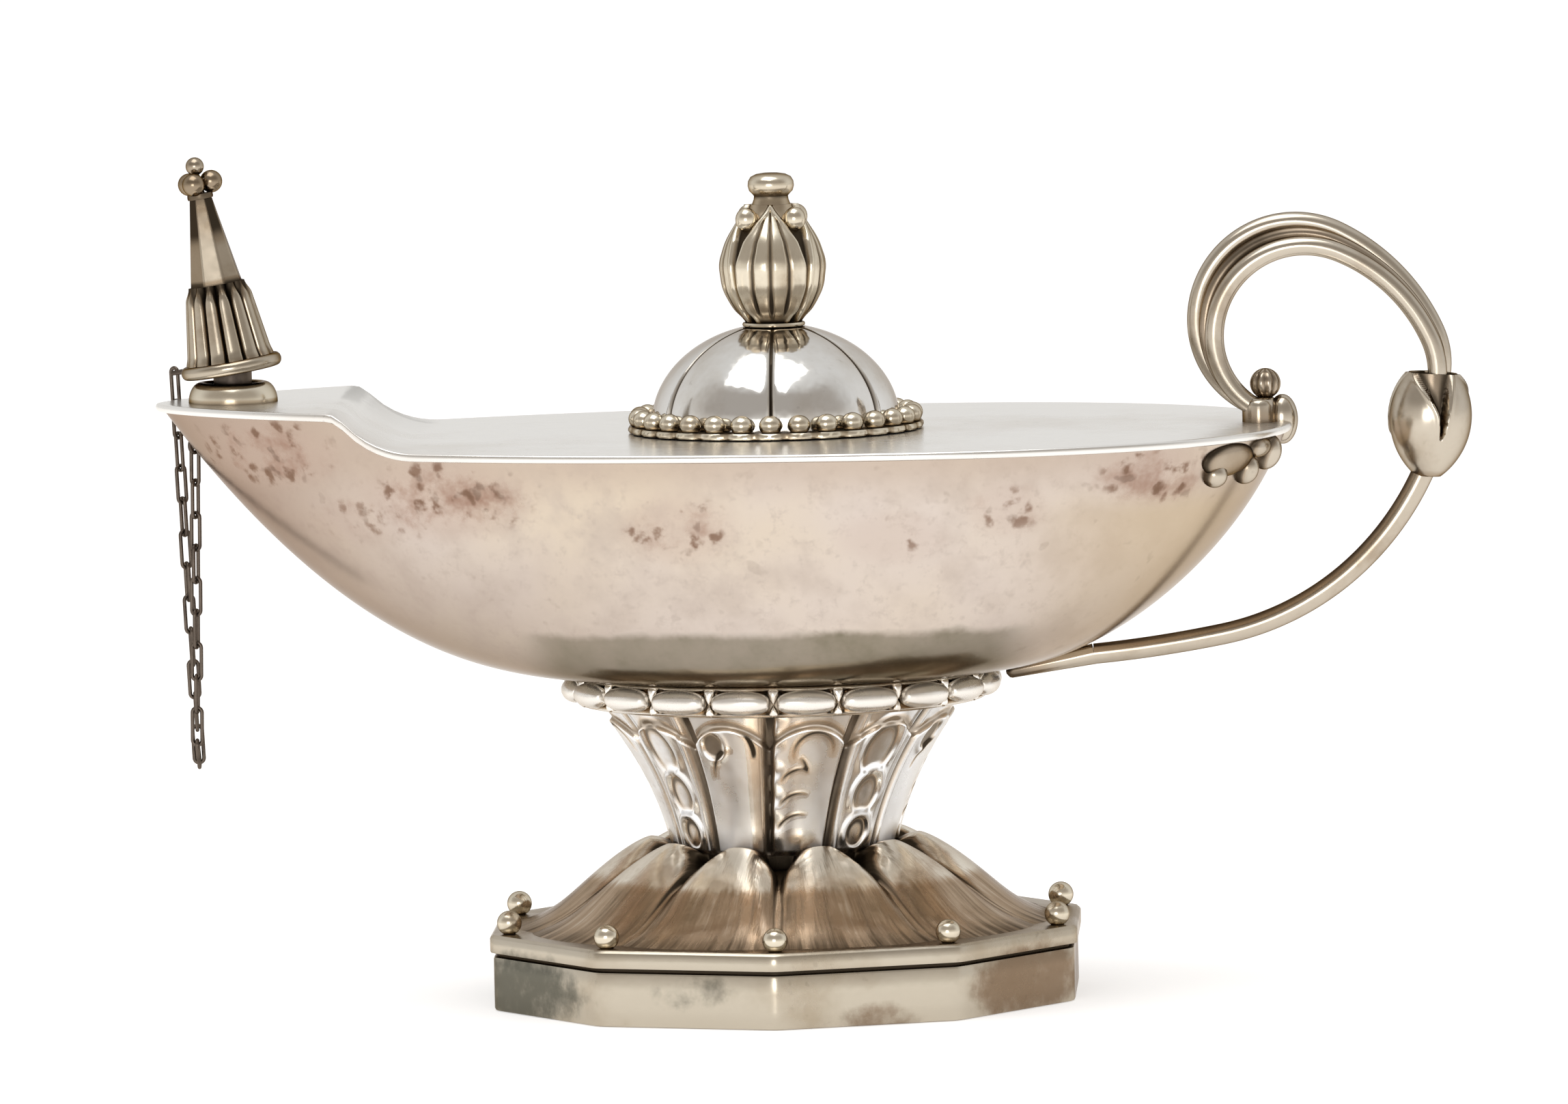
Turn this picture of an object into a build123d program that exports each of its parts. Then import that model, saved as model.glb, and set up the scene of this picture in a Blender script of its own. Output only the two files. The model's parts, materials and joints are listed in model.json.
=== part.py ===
from build123d import *
import math
import os

os.makedirs("parts", exist_ok=True)

# Foot: ten-sided band, flange plate, gadrooned dome and corner balls
FOOT_SIDES = 10
FOOT_TURN = 18.0            # degrees, puts a corner at the front
BAND_CORNER = 34.8          # circumradius of the plinth band
BAND_HEIGHT = 6.2
BAND_WALL = 1.2
BAND_LIP = 3.4              # turned-in rim that the lamp stands on
BAND_LIP_HEIGHT = 1.0
PLATE_CORNER = 35.2         # circumradius of the flange plate
PLATE_HEIGHT = 2.1
PLATE_BEVEL = 0.4
JOINT_HEIGHT = 0.4          # dark joint line under the flange plate
JOINT_DEPTH = 1.0
DOME_FOOT_RADIUS = 28.0
DOME_TOP_RADIUS = 15.4
DOME_HEIGHT = 9.9
DOME_SWEEP = 0.75           # power of the dome's flank curve
DOME_TOE = 3.0              # how far the gadroons flare out over the plate
DOME_TOE_SHARPNESS = 8.0
DOME_GROOVE = 3.4           # deepest valley between two gadroons, at the stem
DOME_GROOVE_FOOT = 0.25     # share of that depth where the valley runs out on the plate
DOME_WALL = 1.3
CORNER_BEAD_RADIUS = 1.45
CORNER_BEAD_INSET = 2.4     # ball centre to plate corner
CORNER_BEAD_SUNK = 0.2      # flat that the ball is soldered on

# Stem and its ring of oval lobes
STEM_SEAT_DEPTH = 1.3       # how far the stem stands below the gadroon crests
STEM_SEAT_GAP = 1.0
STEM_FOOT_RADIUS = 13.0
STEM_WAIST_RADIUS = 16.0
STEM_TOP_RADIUS = 21.6
STEM_HEIGHT = 16.8
STEM_WALL = 1.2
RING_HEIGHT = 3.6
RING_RADIUS = 23.9
RING_CORE_RADIUS = 23.2
RING_BORE = 17.5
RING_LOBES = 20
RING_LOBE_HALF_LENGTH = 3.55
RING_LOBE_RADIUS = 1.5
SPINDLE_END = 14.0          # degrees of the ellipse cut off at each end of a lobe

# Bowl: a teardrop hull whose outline grows with the square root of its height
BOWL_FOOT_HALF_LENGTH = 25.5
BOWL_FOOT_HALF_WIDTH = 23.5
BOWL_DEPTH = 27.2
BOW_REACH = 41.8            # growth of the spout end from the floor to the deck
STERN_REACH = 33.0
STERN_SWELL = 14.0          # extra fullness of the stern above its middle
BEAM_REACH = 12.5
BEAM_SHIFT = 12.0           # the widest place moves to the stern
BOW_SHARPNESS = 0.3
STERN_FULLNESS = 0.09
BOWL_WALL = 1.3
BOWL_WALL_SPREAD = 1.35     # level wall thickness over square thickness on the flare
HULL_RISES = (0.0, 0.2, 0.4, 0.6, 0.8, 1.0, 1.13)
HULL_POINTS = 24

# Deck plate with the raised spout
DECK_THICK = 0.9
DECK_LIP = 0.4
SPOUT_RISE = 4.4
SPOUT_LENGTH = 27.3         # from the spout's end to where the step runs out on the deck
SPOUT_STEP_RADIUS = 11.0
SPOUT_SHOULDER_RADIUS = 1.8

# Filler neck and lid
FILLER_BORE_RADIUS = 11.2
FILLER_WALL = 0.8
FILLER_DEPTH = 6.0
LID_SEAT_GAP = 0.1
PLUG_CLEARANCE = 0.35
PLUG_WALL = 0.8
PLUG_DEPTH = 4.6
LID_RIM_RADIUS = 16.9
LID_RIM_HEIGHT = 0.75
LID_BEADS = 30
LID_BEAD_RADIUS = 1.05
LID_BEAD_SUNK = 0.15
LID_GORES = 6
LID_DOME_RADIUS = 14.2
LID_DOME_HEIGHT = 11.4
LID_DOME_GROOVE = 0.45
LID_DOME_WALL = 0.9

# Finial on the lid
WASHER_RADIUS = 3.6
WASHER_HEIGHT = 0.6
BUD_RIBS = 8
BUD_HEIGHT = 13.4
BUD_FOOT_RADIUS = 2.9
BUD_RADIUS = 6.2
BUD_TOP_RADIUS = 2.9
BUD_GROOVE = 0.5
BERRIES = 4
BERRY_RADIUS = 1.15
BERRY_RING_RADIUS = 3.9
BERRY_DROP = 1.6            # berry centre below the top of the bud
BUTTON_RADIUS = 2.65
BUTTON_NECK_RADIUS = 2.1
BUTTON_NECK_HEIGHT = 1.2
BUTTON_HEIGHT = 2.4
STUD_RADIUS = 0.9
STUD_IN_BUD = 3.0
STUD_TAIL = 0.8
NUT_ACROSS = 4.0
NUT_HEIGHT = 1.4

# Wick, its tube and the collar on the spout
WICK_INSET = 5.3            # wick's axis from the spout's end
COLLAR_RADIUS = 5.1
COLLAR_HEIGHT = 2.3
WICK_TUBE_RADIUS = 2.2
WICK_TUBE_WALL = 0.45
WICK_TUBE_BELOW = 2.0       # under the deck plate
WICK_TUBE_ABOVE = 1.2       # over the collar
WICK_CLEARANCE = 0.1
WICK_PROUD = 1.2
WICK_BEND_RADIUS = 7.0
WICK_SLOPE = 50.0           # degrees from upright inside the bowl
WICK_TAIL = 10.0

# Snuffer, leaning on the collar
SNUFFER_LEAN = 9.0
SNUFFER_RISE = 1.05         # flange centre over the collar's crown
FLANGE_RADIUS = 5.8
FLANGE_HEIGHT = 1.5
SKIRT_FLUTES = 14
SKIRT_HEIGHT = 8.8
SKIRT_FOOT_RADIUS = 4.95
SKIRT_TOP_RADIUS = 3.6
SKIRT_GROOVE = 0.45
CAP_BORE_RADIUS = 4.1
CAP_BORE_TOP_RADIUS = 2.4
SPIRE_SIDES = 8
SPIRE_FOOT_RADIUS = 3.1
SPIRE_TOP_RADIUS = 1.35
SPIRE_HEIGHT = 9.9
SPIRE_BORE_HEIGHT = 6.0
SPIRE_BORE_TOP_RADIUS = 0.9
TIP_NECK_RADIUS = 1.45
TIP_NECK = 0.6
TIP_CORE_RADIUS = 0.22
TIP_BEADS = 3
TIP_BEAD_TURN = 255.0
TIP_BEAD_RADIUS = 1.3
TIP_BEAD_RING = 1.55
TIP_BEAD_SUNK = 0.15        # flat that the bead is soldered on
TIP_BALL_RADIUS = 1.05
TIP_BALL_RISE = 2.0         # top ball centre over the ring of beads

# Chain of long wire links from the snuffer's eye down and back up to the spout
CHAIN_WIRE = 0.45
LINK_LENGTH = 4.75
LINK_WIDTH = 1.55
CAP_STRAND_LINKS = 12
SPOUT_STRAND_LINKS = 9
EYE_WIRE = 0.5
EYE_WIDTH = 1.9
EYE_REACH = 4.1             # out from the flange edge
EYE_ANGLE = 138.0
LINK_TWIST = 86.0           # degrees from one link's plane to the next
CAP_STRAND_DRIFT = (1.8, -0.4)      # how far each strand leans over its whole length
SPOUT_STRAND_DRIFT = (0.6, -0.5)
TURN_TILT = 45.0            # degrees, slope of the lowest link
SPOUT_EYE_RADIUS = 0.8
SPOUT_EYE_WIRE = 0.5

# Handle: two wires in a loop, a split pod and the lower wire
HANDLE_WIRE = 2.2
HANDLE_WIRE_GAP = 0.4
# the loop's points are (aft of the stern, over the deck)
NEAR_LEFT = (-8.3, 9.7)
NEAR_TOP = (6.0, 19.2)
NEAR_RIGHT = (16.2, 9.2)
FAR_LEFT = (-10.3, 11.4)
FAR_TOP = (6.1, 21.4)
FAR_RIGHT = (16.8, 10.0)
POD_REACH = 15.7            # pod's foot aft of the stern
POD_DROP = 6.6              # pod's foot below the deck
POD_LEAN = 4.0              # degrees, the pod's top leans aft
POD_HEIGHT = 11.8
POD_RADIUS = 4.65
POD_FOOT_RADIUS = 1.5
POD_MOUTH_RADIUS = 3.4
POD_BORE_DEPTH = 3.6
POD_BORE_RADIUS = 2.9
POD_SLITS = (-75.0, 45.0, 165.0)
POD_SLIT_WIDTH = 2.0
POD_SLIT_DEPTH = 7.2
LOWER_WIRE = 2.6
LOWER_START_ANGLE = -116.0
# the lower wire's points are (aft of the stern, over the bowl's floor)
LOWER_POINTS = ((7.0, 10.2), (-8.0, 2.9), (-22.7, 0.9))
TAIL_TIP_REACH = 2.7        # out from the ring's line of lobes
TAIL_TIP_DROP = 0.9         # below the bowl's floor
TAIL_RADIUS = 1.6
TAIL_TIP_RADIUS = 0.8

# Ornament at the stern where the handle is held
SEAT_GAP = 0.08             # solder gap between the hull and what is seated on it
SOCKET_INSET = 3.3          # socket's axis from the stern
SOCKET_HALF_LENGTH = 2.0
SOCKET_HALF_WIDTH = 3.1
SOCKET_HEIGHT = 2.8
KNOB_RADIUS = 1.75
KNOB_OFFSET = 0.7
KNOB_RISE = 1.5
DROP_HALF_LENGTH = 2.9
DROP_RADIUS = 1.75
DROP_INSET = 0.7            # drop's centre from the stern
DROP_RISE = 0.2             # drop's centre over the deck
# lobes of the stern leaf are (aft of the stern, over the deck, radius)
SCROLL_LOBES = (
    (-1.9, -1.7, 1.6),
    (-2.4, -2.4, 2.0),
    (-3.2, -3.3, 2.3),
    (-5.2, -4.8, 2.4),
    (-7.1, -5.3, 1.9),
    (-9.2, -5.7, 2.1),
)
SCROLL_STEM = 1.5

# Levels stacked from the table up
JOINT_Z = BAND_HEIGHT
PLATE_Z = JOINT_Z + JOINT_HEIGHT
DOME_Z = PLATE_Z + PLATE_HEIGHT
DOME_TOP_Z = DOME_Z + DOME_HEIGHT
STEM_Z = DOME_TOP_Z - STEM_SEAT_DEPTH
RING_Z = STEM_Z + STEM_HEIGHT
BOWL_Z = RING_Z + RING_HEIGHT
DECK_Z = BOWL_Z + BOWL_DEPTH
SPOUT_Z = DECK_Z + SPOUT_RISE
LID_Z = DECK_Z + LID_SEAT_GAP
LID_DOME_Z = LID_Z + LID_RIM_HEIGHT
PLUG_RADIUS = FILLER_BORE_RADIUS - PLUG_CLEARANCE
LID_TOP_SHARE = math.sqrt(1 - (WASHER_RADIUS / LID_DOME_RADIUS) ** 2)
WASHER_Z = LID_DOME_Z + LID_DOME_HEIGHT * LID_TOP_SHARE
BUD_Z = WASHER_Z + WASHER_HEIGHT
BUD_TOP_Z = BUD_Z + BUD_HEIGHT
COLLAR_TOP_Z = SPOUT_Z + COLLAR_HEIGHT

# Places along the bowl
STERN_X = BOWL_FOOT_HALF_LENGTH + STERN_REACH
BOW_X = -BOWL_FOOT_HALF_LENGTH - BOW_REACH
SPOUT_STEP_X = BOW_X + SPOUT_LENGTH
WICK_X = BOW_X + WICK_INSET
SOCKET_X = STERN_X - SOCKET_INSET
POD_X = STERN_X + POD_REACH
POD_FOOT_Z = DECK_Z - POD_DROP


def save(name, shape):
    """Write one node."""
    export_step(shape, f"parts/{name}.step")


def polar(radius, degrees, z=0.0):
    """Point at a radius and an angle about the upright axis."""
    angle = math.radians(degrees)
    return (radius * math.cos(angle), radius * math.sin(angle), z)


def upright_tube(outer, inner, z0, z1, x=0.0):
    """Round tube about an upright axis at x."""
    ring = Circle(outer) - Circle(inner)
    return Pos(x, 0, z0) * extrude(ring, z1 - z0)


def disc(radius, z0, z1, x=0.0):
    """Round disc about an upright axis at x."""
    return Pos(x, 0, z0) * extrude(Circle(radius), z1 - z0)


def decagon(corner_radius, z0, z1):
    """Upright prism with the foot's corners."""
    outline = RegularPolygon(corner_radius, FOOT_SIDES, rotation=FOOT_TURN)
    return Pos(0, 0, z0) * extrude(outline, z1 - z0)


def turned(edges):
    """Solid turned about the upright axis from an outline in the XZ plane."""
    return revolve(Plane.XZ * make_face(edges), Axis.Z)


def lobed_loft(count, sections, turn):
    """Solid through outlines of equal arcs; each section is (z, crest radius, valley radius)."""
    wires = []
    step = 360 / count
    for z, crest, valley in sections:
        arcs = []
        for k in range(count):
            start = polar(valley, turn + k * step, z)
            middle = polar(crest, turn + (k + 0.5) * step, z)
            end = polar(valley, turn + (k + 1) * step, z)
            arcs.append(ThreePointArc(start, middle, end))
        wires.append(Wire(arcs))
    return Part() + Solid.make_loft(wires)


def ball_on_plane(radius, sunk, x, y, z):
    """Ball with a small flat that stands on the plane at z."""
    ball = Pos(x, y, z + radius - sunk) * Sphere(radius)
    floor = Pos(x, y, z - 2 * radius) * Box(4 * radius, 4 * radius, 4 * radius)
    return ball - floor


def spindle(half_length, radius):
    """Oval lobe, most of a half ellipse turned about its long axis X, with small flat ends."""
    crown = EllipticalCenterArc((0, 0), half_length, radius, SPINDLE_END, arc_size=180 - 2 * SPINDLE_END)
    right = crown @ 0
    left = crown @ 1
    base = Polyline(left, (left.X, 0), (right.X, 0), right)
    return revolve(make_face([crown, base]), Axis.X)


def wire_along(path, diameter):
    """Round wire swept along a path."""
    start = Plane(origin=path @ 0, z_dir=path % 0)
    return sweep(start * Circle(diameter / 2), path=path)


def in_side_plane(edges, y=0.0):
    """Path drawn in X and Z, placed at depth y."""
    return Wire([Plane.XZ.offset(-y) * edge for edge in edges])


def stern_end(rise):
    """How far aft the hull reaches; rise is 0 at the floor and 1 at the deck."""
    return BOWL_FOOT_HALF_LENGTH + STERN_REACH * rise + STERN_SWELL * rise**3 * (1 - rise)


def hull_outline(rise, grow, floor):
    """Closed outline of the hull; rise is 0 at the floor and 1 at the deck."""
    middle = BEAM_SHIFT * rise
    bow = BOWL_FOOT_HALF_LENGTH + BOW_REACH * rise + middle + grow
    stern = stern_end(rise) - middle + grow
    beam = BOWL_FOOT_HALF_WIDTH + BEAM_REACH * rise + grow
    z = BOWL_Z + floor + (BOWL_DEPTH - floor) * rise**2
    points = []
    for k in range(HULL_POINTS):
        angle = 2 * math.pi * k / HULL_POINTS
        along = math.cos(angle)
        across = math.sin(angle)
        if along > 0:
            x = middle + stern * along ** (1 - STERN_FULLNESS * rise)
            power = 1 - STERN_FULLNESS * rise
        else:
            x = middle + bow * along
            power = 1 + BOW_SHARPNESS * rise
        y = beam * math.copysign(abs(across) ** power, across)
        points.append((x, y, z))
    return Wire([Spline(*points, periodic=True)])


def hull(grow=0.0, floor=0.0):
    """Solid hull, grown or shrunk level by grow, with its floor raised."""
    return Part() + Solid.make_loft([hull_outline(rise, grow, floor) for rise in HULL_RISES])


def stern_half_width(x, z):
    """Half width of the hull aft of its widest place."""
    rise = math.sqrt((z - BOWL_Z) / BOWL_DEPTH)
    middle = BEAM_SHIFT * rise
    stern = stern_end(rise) - middle
    beam = BOWL_FOOT_HALF_WIDTH + BEAM_REACH * rise
    power = 1 - STERN_FULLNESS * rise
    share = min(1.0, (x - middle) / stern)
    return beam * (1 - share ** (2 / power)) ** (power / 2)


def above_deck(drop):
    """Everything over the deck surface lowered by drop."""
    reach = 2 * (BOWL_FOOT_HALF_LENGTH + BOW_REACH)
    deck = DECK_Z - drop
    spout = SPOUT_Z - drop
    foot = SPOUT_STEP_X
    run = math.sqrt(SPOUT_STEP_RADIUS**2 - (SPOUT_STEP_RADIUS - SPOUT_RISE) ** 2)
    shoulder = (foot - run, spout)
    outline = make_face(
        [
            Line((-reach, spout), shoulder),
            TangentArc((foot, deck), shoulder, tangent=(-1, 0)),
            Line((foot, deck), (reach, deck)),
            Line((reach, deck), (reach, deck + reach)),
            Line((reach, deck + reach), (-reach, deck + reach)),
            Line((-reach, deck + reach), (-reach, spout)),
        ]
    )
    corner = outline.vertices().sort_by_distance((shoulder[0], shoulder[1], 0))[0]
    rounded = fillet(corner, SPOUT_SHOULDER_RADIUS)
    return extrude(Plane.XZ * rounded, reach, both=True)


# Foot
plate_hole = DOME_FOOT_RADIUS - DOME_WALL
band_inner = BAND_CORNER - BAND_WALL / math.cos(math.pi / FOOT_SIDES)
lip_inner = band_inner - BAND_LIP
foot_band = decagon(BAND_CORNER, 0, BAND_HEIGHT)
foot_band -= decagon(band_inner, BAND_LIP_HEIGHT, BAND_HEIGHT)
foot_band -= decagon(lip_inner, 0, BAND_LIP_HEIGHT)
save("foot_band", foot_band)

plate_slab = decagon(PLATE_CORNER, PLATE_Z, DOME_Z)
plate_slab = chamfer(plate_slab.faces().sort_by(Axis.Z)[-1].edges(), PLATE_BEVEL)
foot_plate = plate_slab + decagon(PLATE_CORNER - JOINT_DEPTH, JOINT_Z, PLATE_Z)
foot_plate -= disc(plate_hole, JOINT_Z, DOME_Z)
save("foot_plate", foot_plate)

dome_sections = []
for share in (0, 0.08, 0.18, 0.32, 0.5, 0.7, 0.86, 0.95, 1):
    crest = DOME_TOP_RADIUS + (DOME_FOOT_RADIUS - DOME_TOP_RADIUS) * (1 - share) ** DOME_SWEEP
    crest += DOME_TOE * (1 - share) ** DOME_TOE_SHARPNESS
    valley = crest - DOME_GROOVE * (DOME_GROOVE_FOOT + (1 - DOME_GROOVE_FOOT) * share)
    dome_sections.append((DOME_Z + DOME_HEIGHT * share, crest, valley))
foot_dome = lobed_loft(FOOT_SIDES, dome_sections, FOOT_TURN)
stem_bore = STEM_FOOT_RADIUS - STEM_WALL
throat_z = STEM_Z - DOME_WALL - DOME_GROOVE
dome_hollow = Polyline(
    (0, DOME_Z),
    (plate_hole, DOME_Z),
    (stem_bore, throat_z),
    (stem_bore, STEM_Z),
    (0, STEM_Z),
    close=True,
)
foot_dome -= turned([dome_hollow])
foot_dome -= disc(STEM_FOOT_RADIUS + STEM_SEAT_GAP, STEM_Z, DOME_TOP_Z)
save("foot_dome", foot_dome)

bead_ring = PLATE_CORNER - CORNER_BEAD_INSET
corner_beads = []
for k in range(FOOT_SIDES):
    x, y, z = polar(bead_ring, FOOT_TURN + 360 * k / FOOT_SIDES, DOME_Z)
    corner_beads.append(ball_on_plane(CORNER_BEAD_RADIUS, CORNER_BEAD_SUNK, x, y, z))
save("corner_beads", Compound(corner_beads))

# Stem
stem_waist_z = STEM_Z + STEM_HEIGHT / 2
stem_flank = []
for inset in (0, STEM_WALL):
    foot = (STEM_FOOT_RADIUS - inset, STEM_Z)
    waist = (STEM_WAIST_RADIUS - inset, stem_waist_z)
    top = (STEM_TOP_RADIUS - inset, RING_Z)
    stem_flank.append(ThreePointArc(foot, waist, top))
outside, inside = stem_flank
stem = turned([outside, Line(outside @ 1, inside @ 1), inside, Line(inside @ 0, outside @ 0)])
save("stem", stem)

ring_lobes = []
lobe = spindle(RING_LOBE_HALF_LENGTH, RING_LOBE_RADIUS)
lobe_seat = RING_CORE_RADIUS - RING_RADIUS - RING_HEIGHT / 2
lobe -= Pos(0, -lobe_seat, 0) * Box(3 * RING_LOBE_HALF_LENGTH, RING_HEIGHT, RING_HEIGHT)
for k in range(RING_LOBES):
    turn = 360 * (k + 0.5) / RING_LOBES
    place = Location(polar(RING_RADIUS, turn, RING_Z + RING_HEIGHT / 2), (0, 0, turn + 90))
    ring_lobes.append(place * lobe)
core_plan = RegularPolygon(RING_CORE_RADIUS, RING_LOBES, major_radius=False)
ring_core = Pos(0, 0, RING_Z) * extrude(core_plan - Circle(RING_BORE), RING_HEIGHT)
stem_ring = Compound([ring_core] + ring_lobes)
save("stem_ring", stem_ring)

# Bowl and deck
outer_hull = hull()
over_deck = above_deck(0)
over_bowl = above_deck(DECK_THICK)
bowl = outer_hull - hull(-BOWL_WALL * BOWL_WALL_SPREAD, BOWL_WALL) - over_bowl
save("bowl", bowl)

filler_radius = FILLER_BORE_RADIUS + FILLER_WALL
deck = (hull(DECK_LIP) & over_bowl) - over_deck
deck -= disc(filler_radius, DECK_Z - 2 * DECK_THICK, DECK_Z + DECK_THICK)
deck -= disc(WICK_TUBE_RADIUS, SPOUT_Z - 2 * DECK_THICK, SPOUT_Z + DECK_THICK, WICK_X)
save("deck", deck)

# Room taken by the bowl and the deck with the solder gap round them
bowl_seat = hull(SEAT_GAP) - over_bowl
deck_seat = (hull(DECK_LIP + SEAT_GAP) & above_deck(DECK_THICK + SEAT_GAP)) - above_deck(-SEAT_GAP)

save("filler_neck", upright_tube(filler_radius, FILLER_BORE_RADIUS, DECK_Z - FILLER_DEPTH, DECK_Z))

# Lid
save("lid_rim", upright_tube(LID_RIM_RADIUS, PLUG_RADIUS, LID_Z, LID_DOME_Z))
save("lid_plug", upright_tube(PLUG_RADIUS, PLUG_RADIUS - PLUG_WALL, LID_Z - PLUG_DEPTH, LID_DOME_Z))

lid_bead_ring = LID_RIM_RADIUS - LID_BEAD_RADIUS
lid_beads = []
for k in range(LID_BEADS):
    x, y, z = polar(lid_bead_ring, 360 * (k + 0.5) / LID_BEADS, LID_DOME_Z)
    lid_beads.append(ball_on_plane(LID_BEAD_RADIUS, LID_BEAD_SUNK, x, y, z))
save("lid_beads", Compound(lid_beads))

gore_sections = []
for share in (0, 0.25, 0.5, 0.7, 0.86, LID_TOP_SHARE):
    crest = LID_DOME_RADIUS * math.sqrt(1 - share**2)
    valley = crest - LID_DOME_GROOVE * crest / LID_DOME_RADIUS
    gore_sections.append((LID_DOME_Z + LID_DOME_HEIGHT * share, crest, valley))
lid_dome = lobed_loft(LID_GORES, gore_sections, 90)
bore = LID_DOME_RADIUS - LID_DOME_WALL - LID_DOME_GROOVE
bore_height = LID_DOME_HEIGHT - LID_DOME_WALL
nut_seat_z = WASHER_Z - 2 * LID_DOME_WALL
cavity = turned(
    [
        Line((0, 0), (bore, 0)),
        EllipticalCenterArc((0, 0), bore, bore_height, 0, arc_size=90),
        Line((0, bore_height), (0, 0)),
    ]
)
cavity &= disc(LID_DOME_RADIUS, 0, nut_seat_z - LID_DOME_Z)
lid_dome -= Pos(0, 0, LID_DOME_Z) * cavity
lid_dome -= disc(STUD_RADIUS, nut_seat_z, WASHER_Z)
save("lid_dome", lid_dome)

# Finial
save("finial_washer", upright_tube(WASHER_RADIUS, STUD_RADIUS, WASHER_Z, BUD_Z))

bud_profile = (
    (0, BUD_FOOT_RADIUS),
    (0.12, 0.76 * BUD_RADIUS),
    (0.28, 0.94 * BUD_RADIUS),
    (0.5, BUD_RADIUS),
    (0.7, 0.86 * BUD_RADIUS),
    (0.86, 0.64 * BUD_RADIUS),
    (1, BUD_TOP_RADIUS),
)
bud_sections = []
for share, crest in bud_profile:
    bud_sections.append((BUD_Z + BUD_HEIGHT * share, crest, crest - BUD_GROOVE * crest / BUD_RADIUS))
finial_bud = lobed_loft(BUD_RIBS, bud_sections, 90)
finial_bud -= disc(STUD_RADIUS, BUD_Z, BUD_Z + STUD_IN_BUD)
berries = []
for k in range(BERRIES):
    spot = polar(BERRY_RING_RADIUS, 45 + 360 * k / BERRIES, BUD_TOP_Z - BERRY_DROP)
    berries.append(Pos(*spot) * Sphere(BERRY_RADIUS))
finial_bud -= berries
save("finial_bud", finial_bud)
save("finial_berries", Compound(berries))

button_z = BUD_TOP_Z + BUTTON_NECK_HEIGHT
button_disc = disc(BUTTON_RADIUS, button_z, button_z + BUTTON_HEIGHT)
button_disc = fillet(button_disc.edges(), BUTTON_HEIGHT * 0.4)
save("finial_button", button_disc + disc(BUTTON_NECK_RADIUS, BUD_TOP_Z, button_z + BUTTON_HEIGHT / 2))

nut_z = nut_seat_z - NUT_HEIGHT
save("finial_stud", disc(STUD_RADIUS, nut_z - STUD_TAIL, BUD_Z + STUD_IN_BUD))
nut = RegularPolygon(NUT_ACROSS / 2, 6, major_radius=False) - Circle(STUD_RADIUS)
save("finial_nut", Pos(0, 0, nut_z) * extrude(nut, NUT_HEIGHT))

# Wick, its tube and the collar
collar_mid = (COLLAR_RADIUS + WICK_TUBE_RADIUS) / 2
collar_crown = (COLLAR_RADIUS - WICK_TUBE_RADIUS) / 2
collar = turned(
    [
        Line((WICK_TUBE_RADIUS, 0), (COLLAR_RADIUS, 0)),
        EllipticalCenterArc((collar_mid, 0), collar_crown, COLLAR_HEIGHT, 0, arc_size=180),
    ]
)
save("wick_collar", Pos(WICK_X, 0, SPOUT_Z) * collar)

tube_top_z = COLLAR_TOP_Z + WICK_TUBE_ABOVE
tube_foot_z = SPOUT_Z - DECK_THICK - WICK_TUBE_BELOW
wick_bore = WICK_TUBE_RADIUS - WICK_TUBE_WALL
save("wick_tube", upright_tube(WICK_TUBE_RADIUS, wick_bore, tube_foot_z, tube_top_z, WICK_X))

wick_run = Line((WICK_X, tube_top_z + WICK_PROUD), (WICK_X, tube_foot_z))
wick_bend = JernArc(start=wick_run @ 1, tangent=wick_run % 1, radius=WICK_BEND_RADIUS, arc_size=WICK_SLOPE)
wick_tail = Line(wick_bend @ 1, wick_bend @ 1 + WICK_TAIL * (wick_bend % 1))
wick_path = in_side_plane([wick_run, wick_bend, wick_tail])
save("wick", wire_along(wick_path, 2 * (wick_bore - WICK_CLEARANCE)))

# Snuffer, drawn upright on its own axis and then leaned over
snuffer_place = Location((WICK_X, 0, COLLAR_TOP_Z + SNUFFER_RISE), (0, -SNUFFER_LEAN, 0))
flange = upright_tube(FLANGE_RADIUS, CAP_BORE_RADIUS, 0, FLANGE_HEIGHT)
flange = fillet(flange.edges().group_by(SortBy.LENGTH)[-1], FLANGE_HEIGHT * 0.4)
save("snuffer_flange", snuffer_place * flange)

skirt_top = FLANGE_HEIGHT + SKIRT_HEIGHT
skirt_sections = []
for share in (0, 0.5, 1):
    crest = SKIRT_FOOT_RADIUS + (SKIRT_TOP_RADIUS - SKIRT_FOOT_RADIUS) * share
    skirt_sections.append((FLANGE_HEIGHT + SKIRT_HEIGHT * share, crest, crest - SKIRT_GROOVE))
skirt = lobed_loft(SKIRT_FLUTES, skirt_sections, 90)
skirt_bore = Cone(CAP_BORE_RADIUS, CAP_BORE_TOP_RADIUS, SKIRT_HEIGHT)
skirt -= Pos(0, 0, FLANGE_HEIGHT + SKIRT_HEIGHT / 2) * skirt_bore
save("snuffer_skirt", snuffer_place * skirt)

spire_rims = []
for z, radius in ((skirt_top, SPIRE_FOOT_RADIUS), (skirt_top + SPIRE_HEIGHT, SPIRE_TOP_RADIUS)):
    spire_rims.append(Pos(0, 0, z) * RegularPolygon(radius, SPIRE_SIDES))
spire = loft(spire_rims)
spire_bore = Cone(CAP_BORE_TOP_RADIUS, SPIRE_BORE_TOP_RADIUS, SPIRE_BORE_HEIGHT)
spire -= Pos(0, 0, skirt_top + SPIRE_BORE_HEIGHT / 2) * spire_bore
save("snuffer_spire", snuffer_place * spire)

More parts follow.
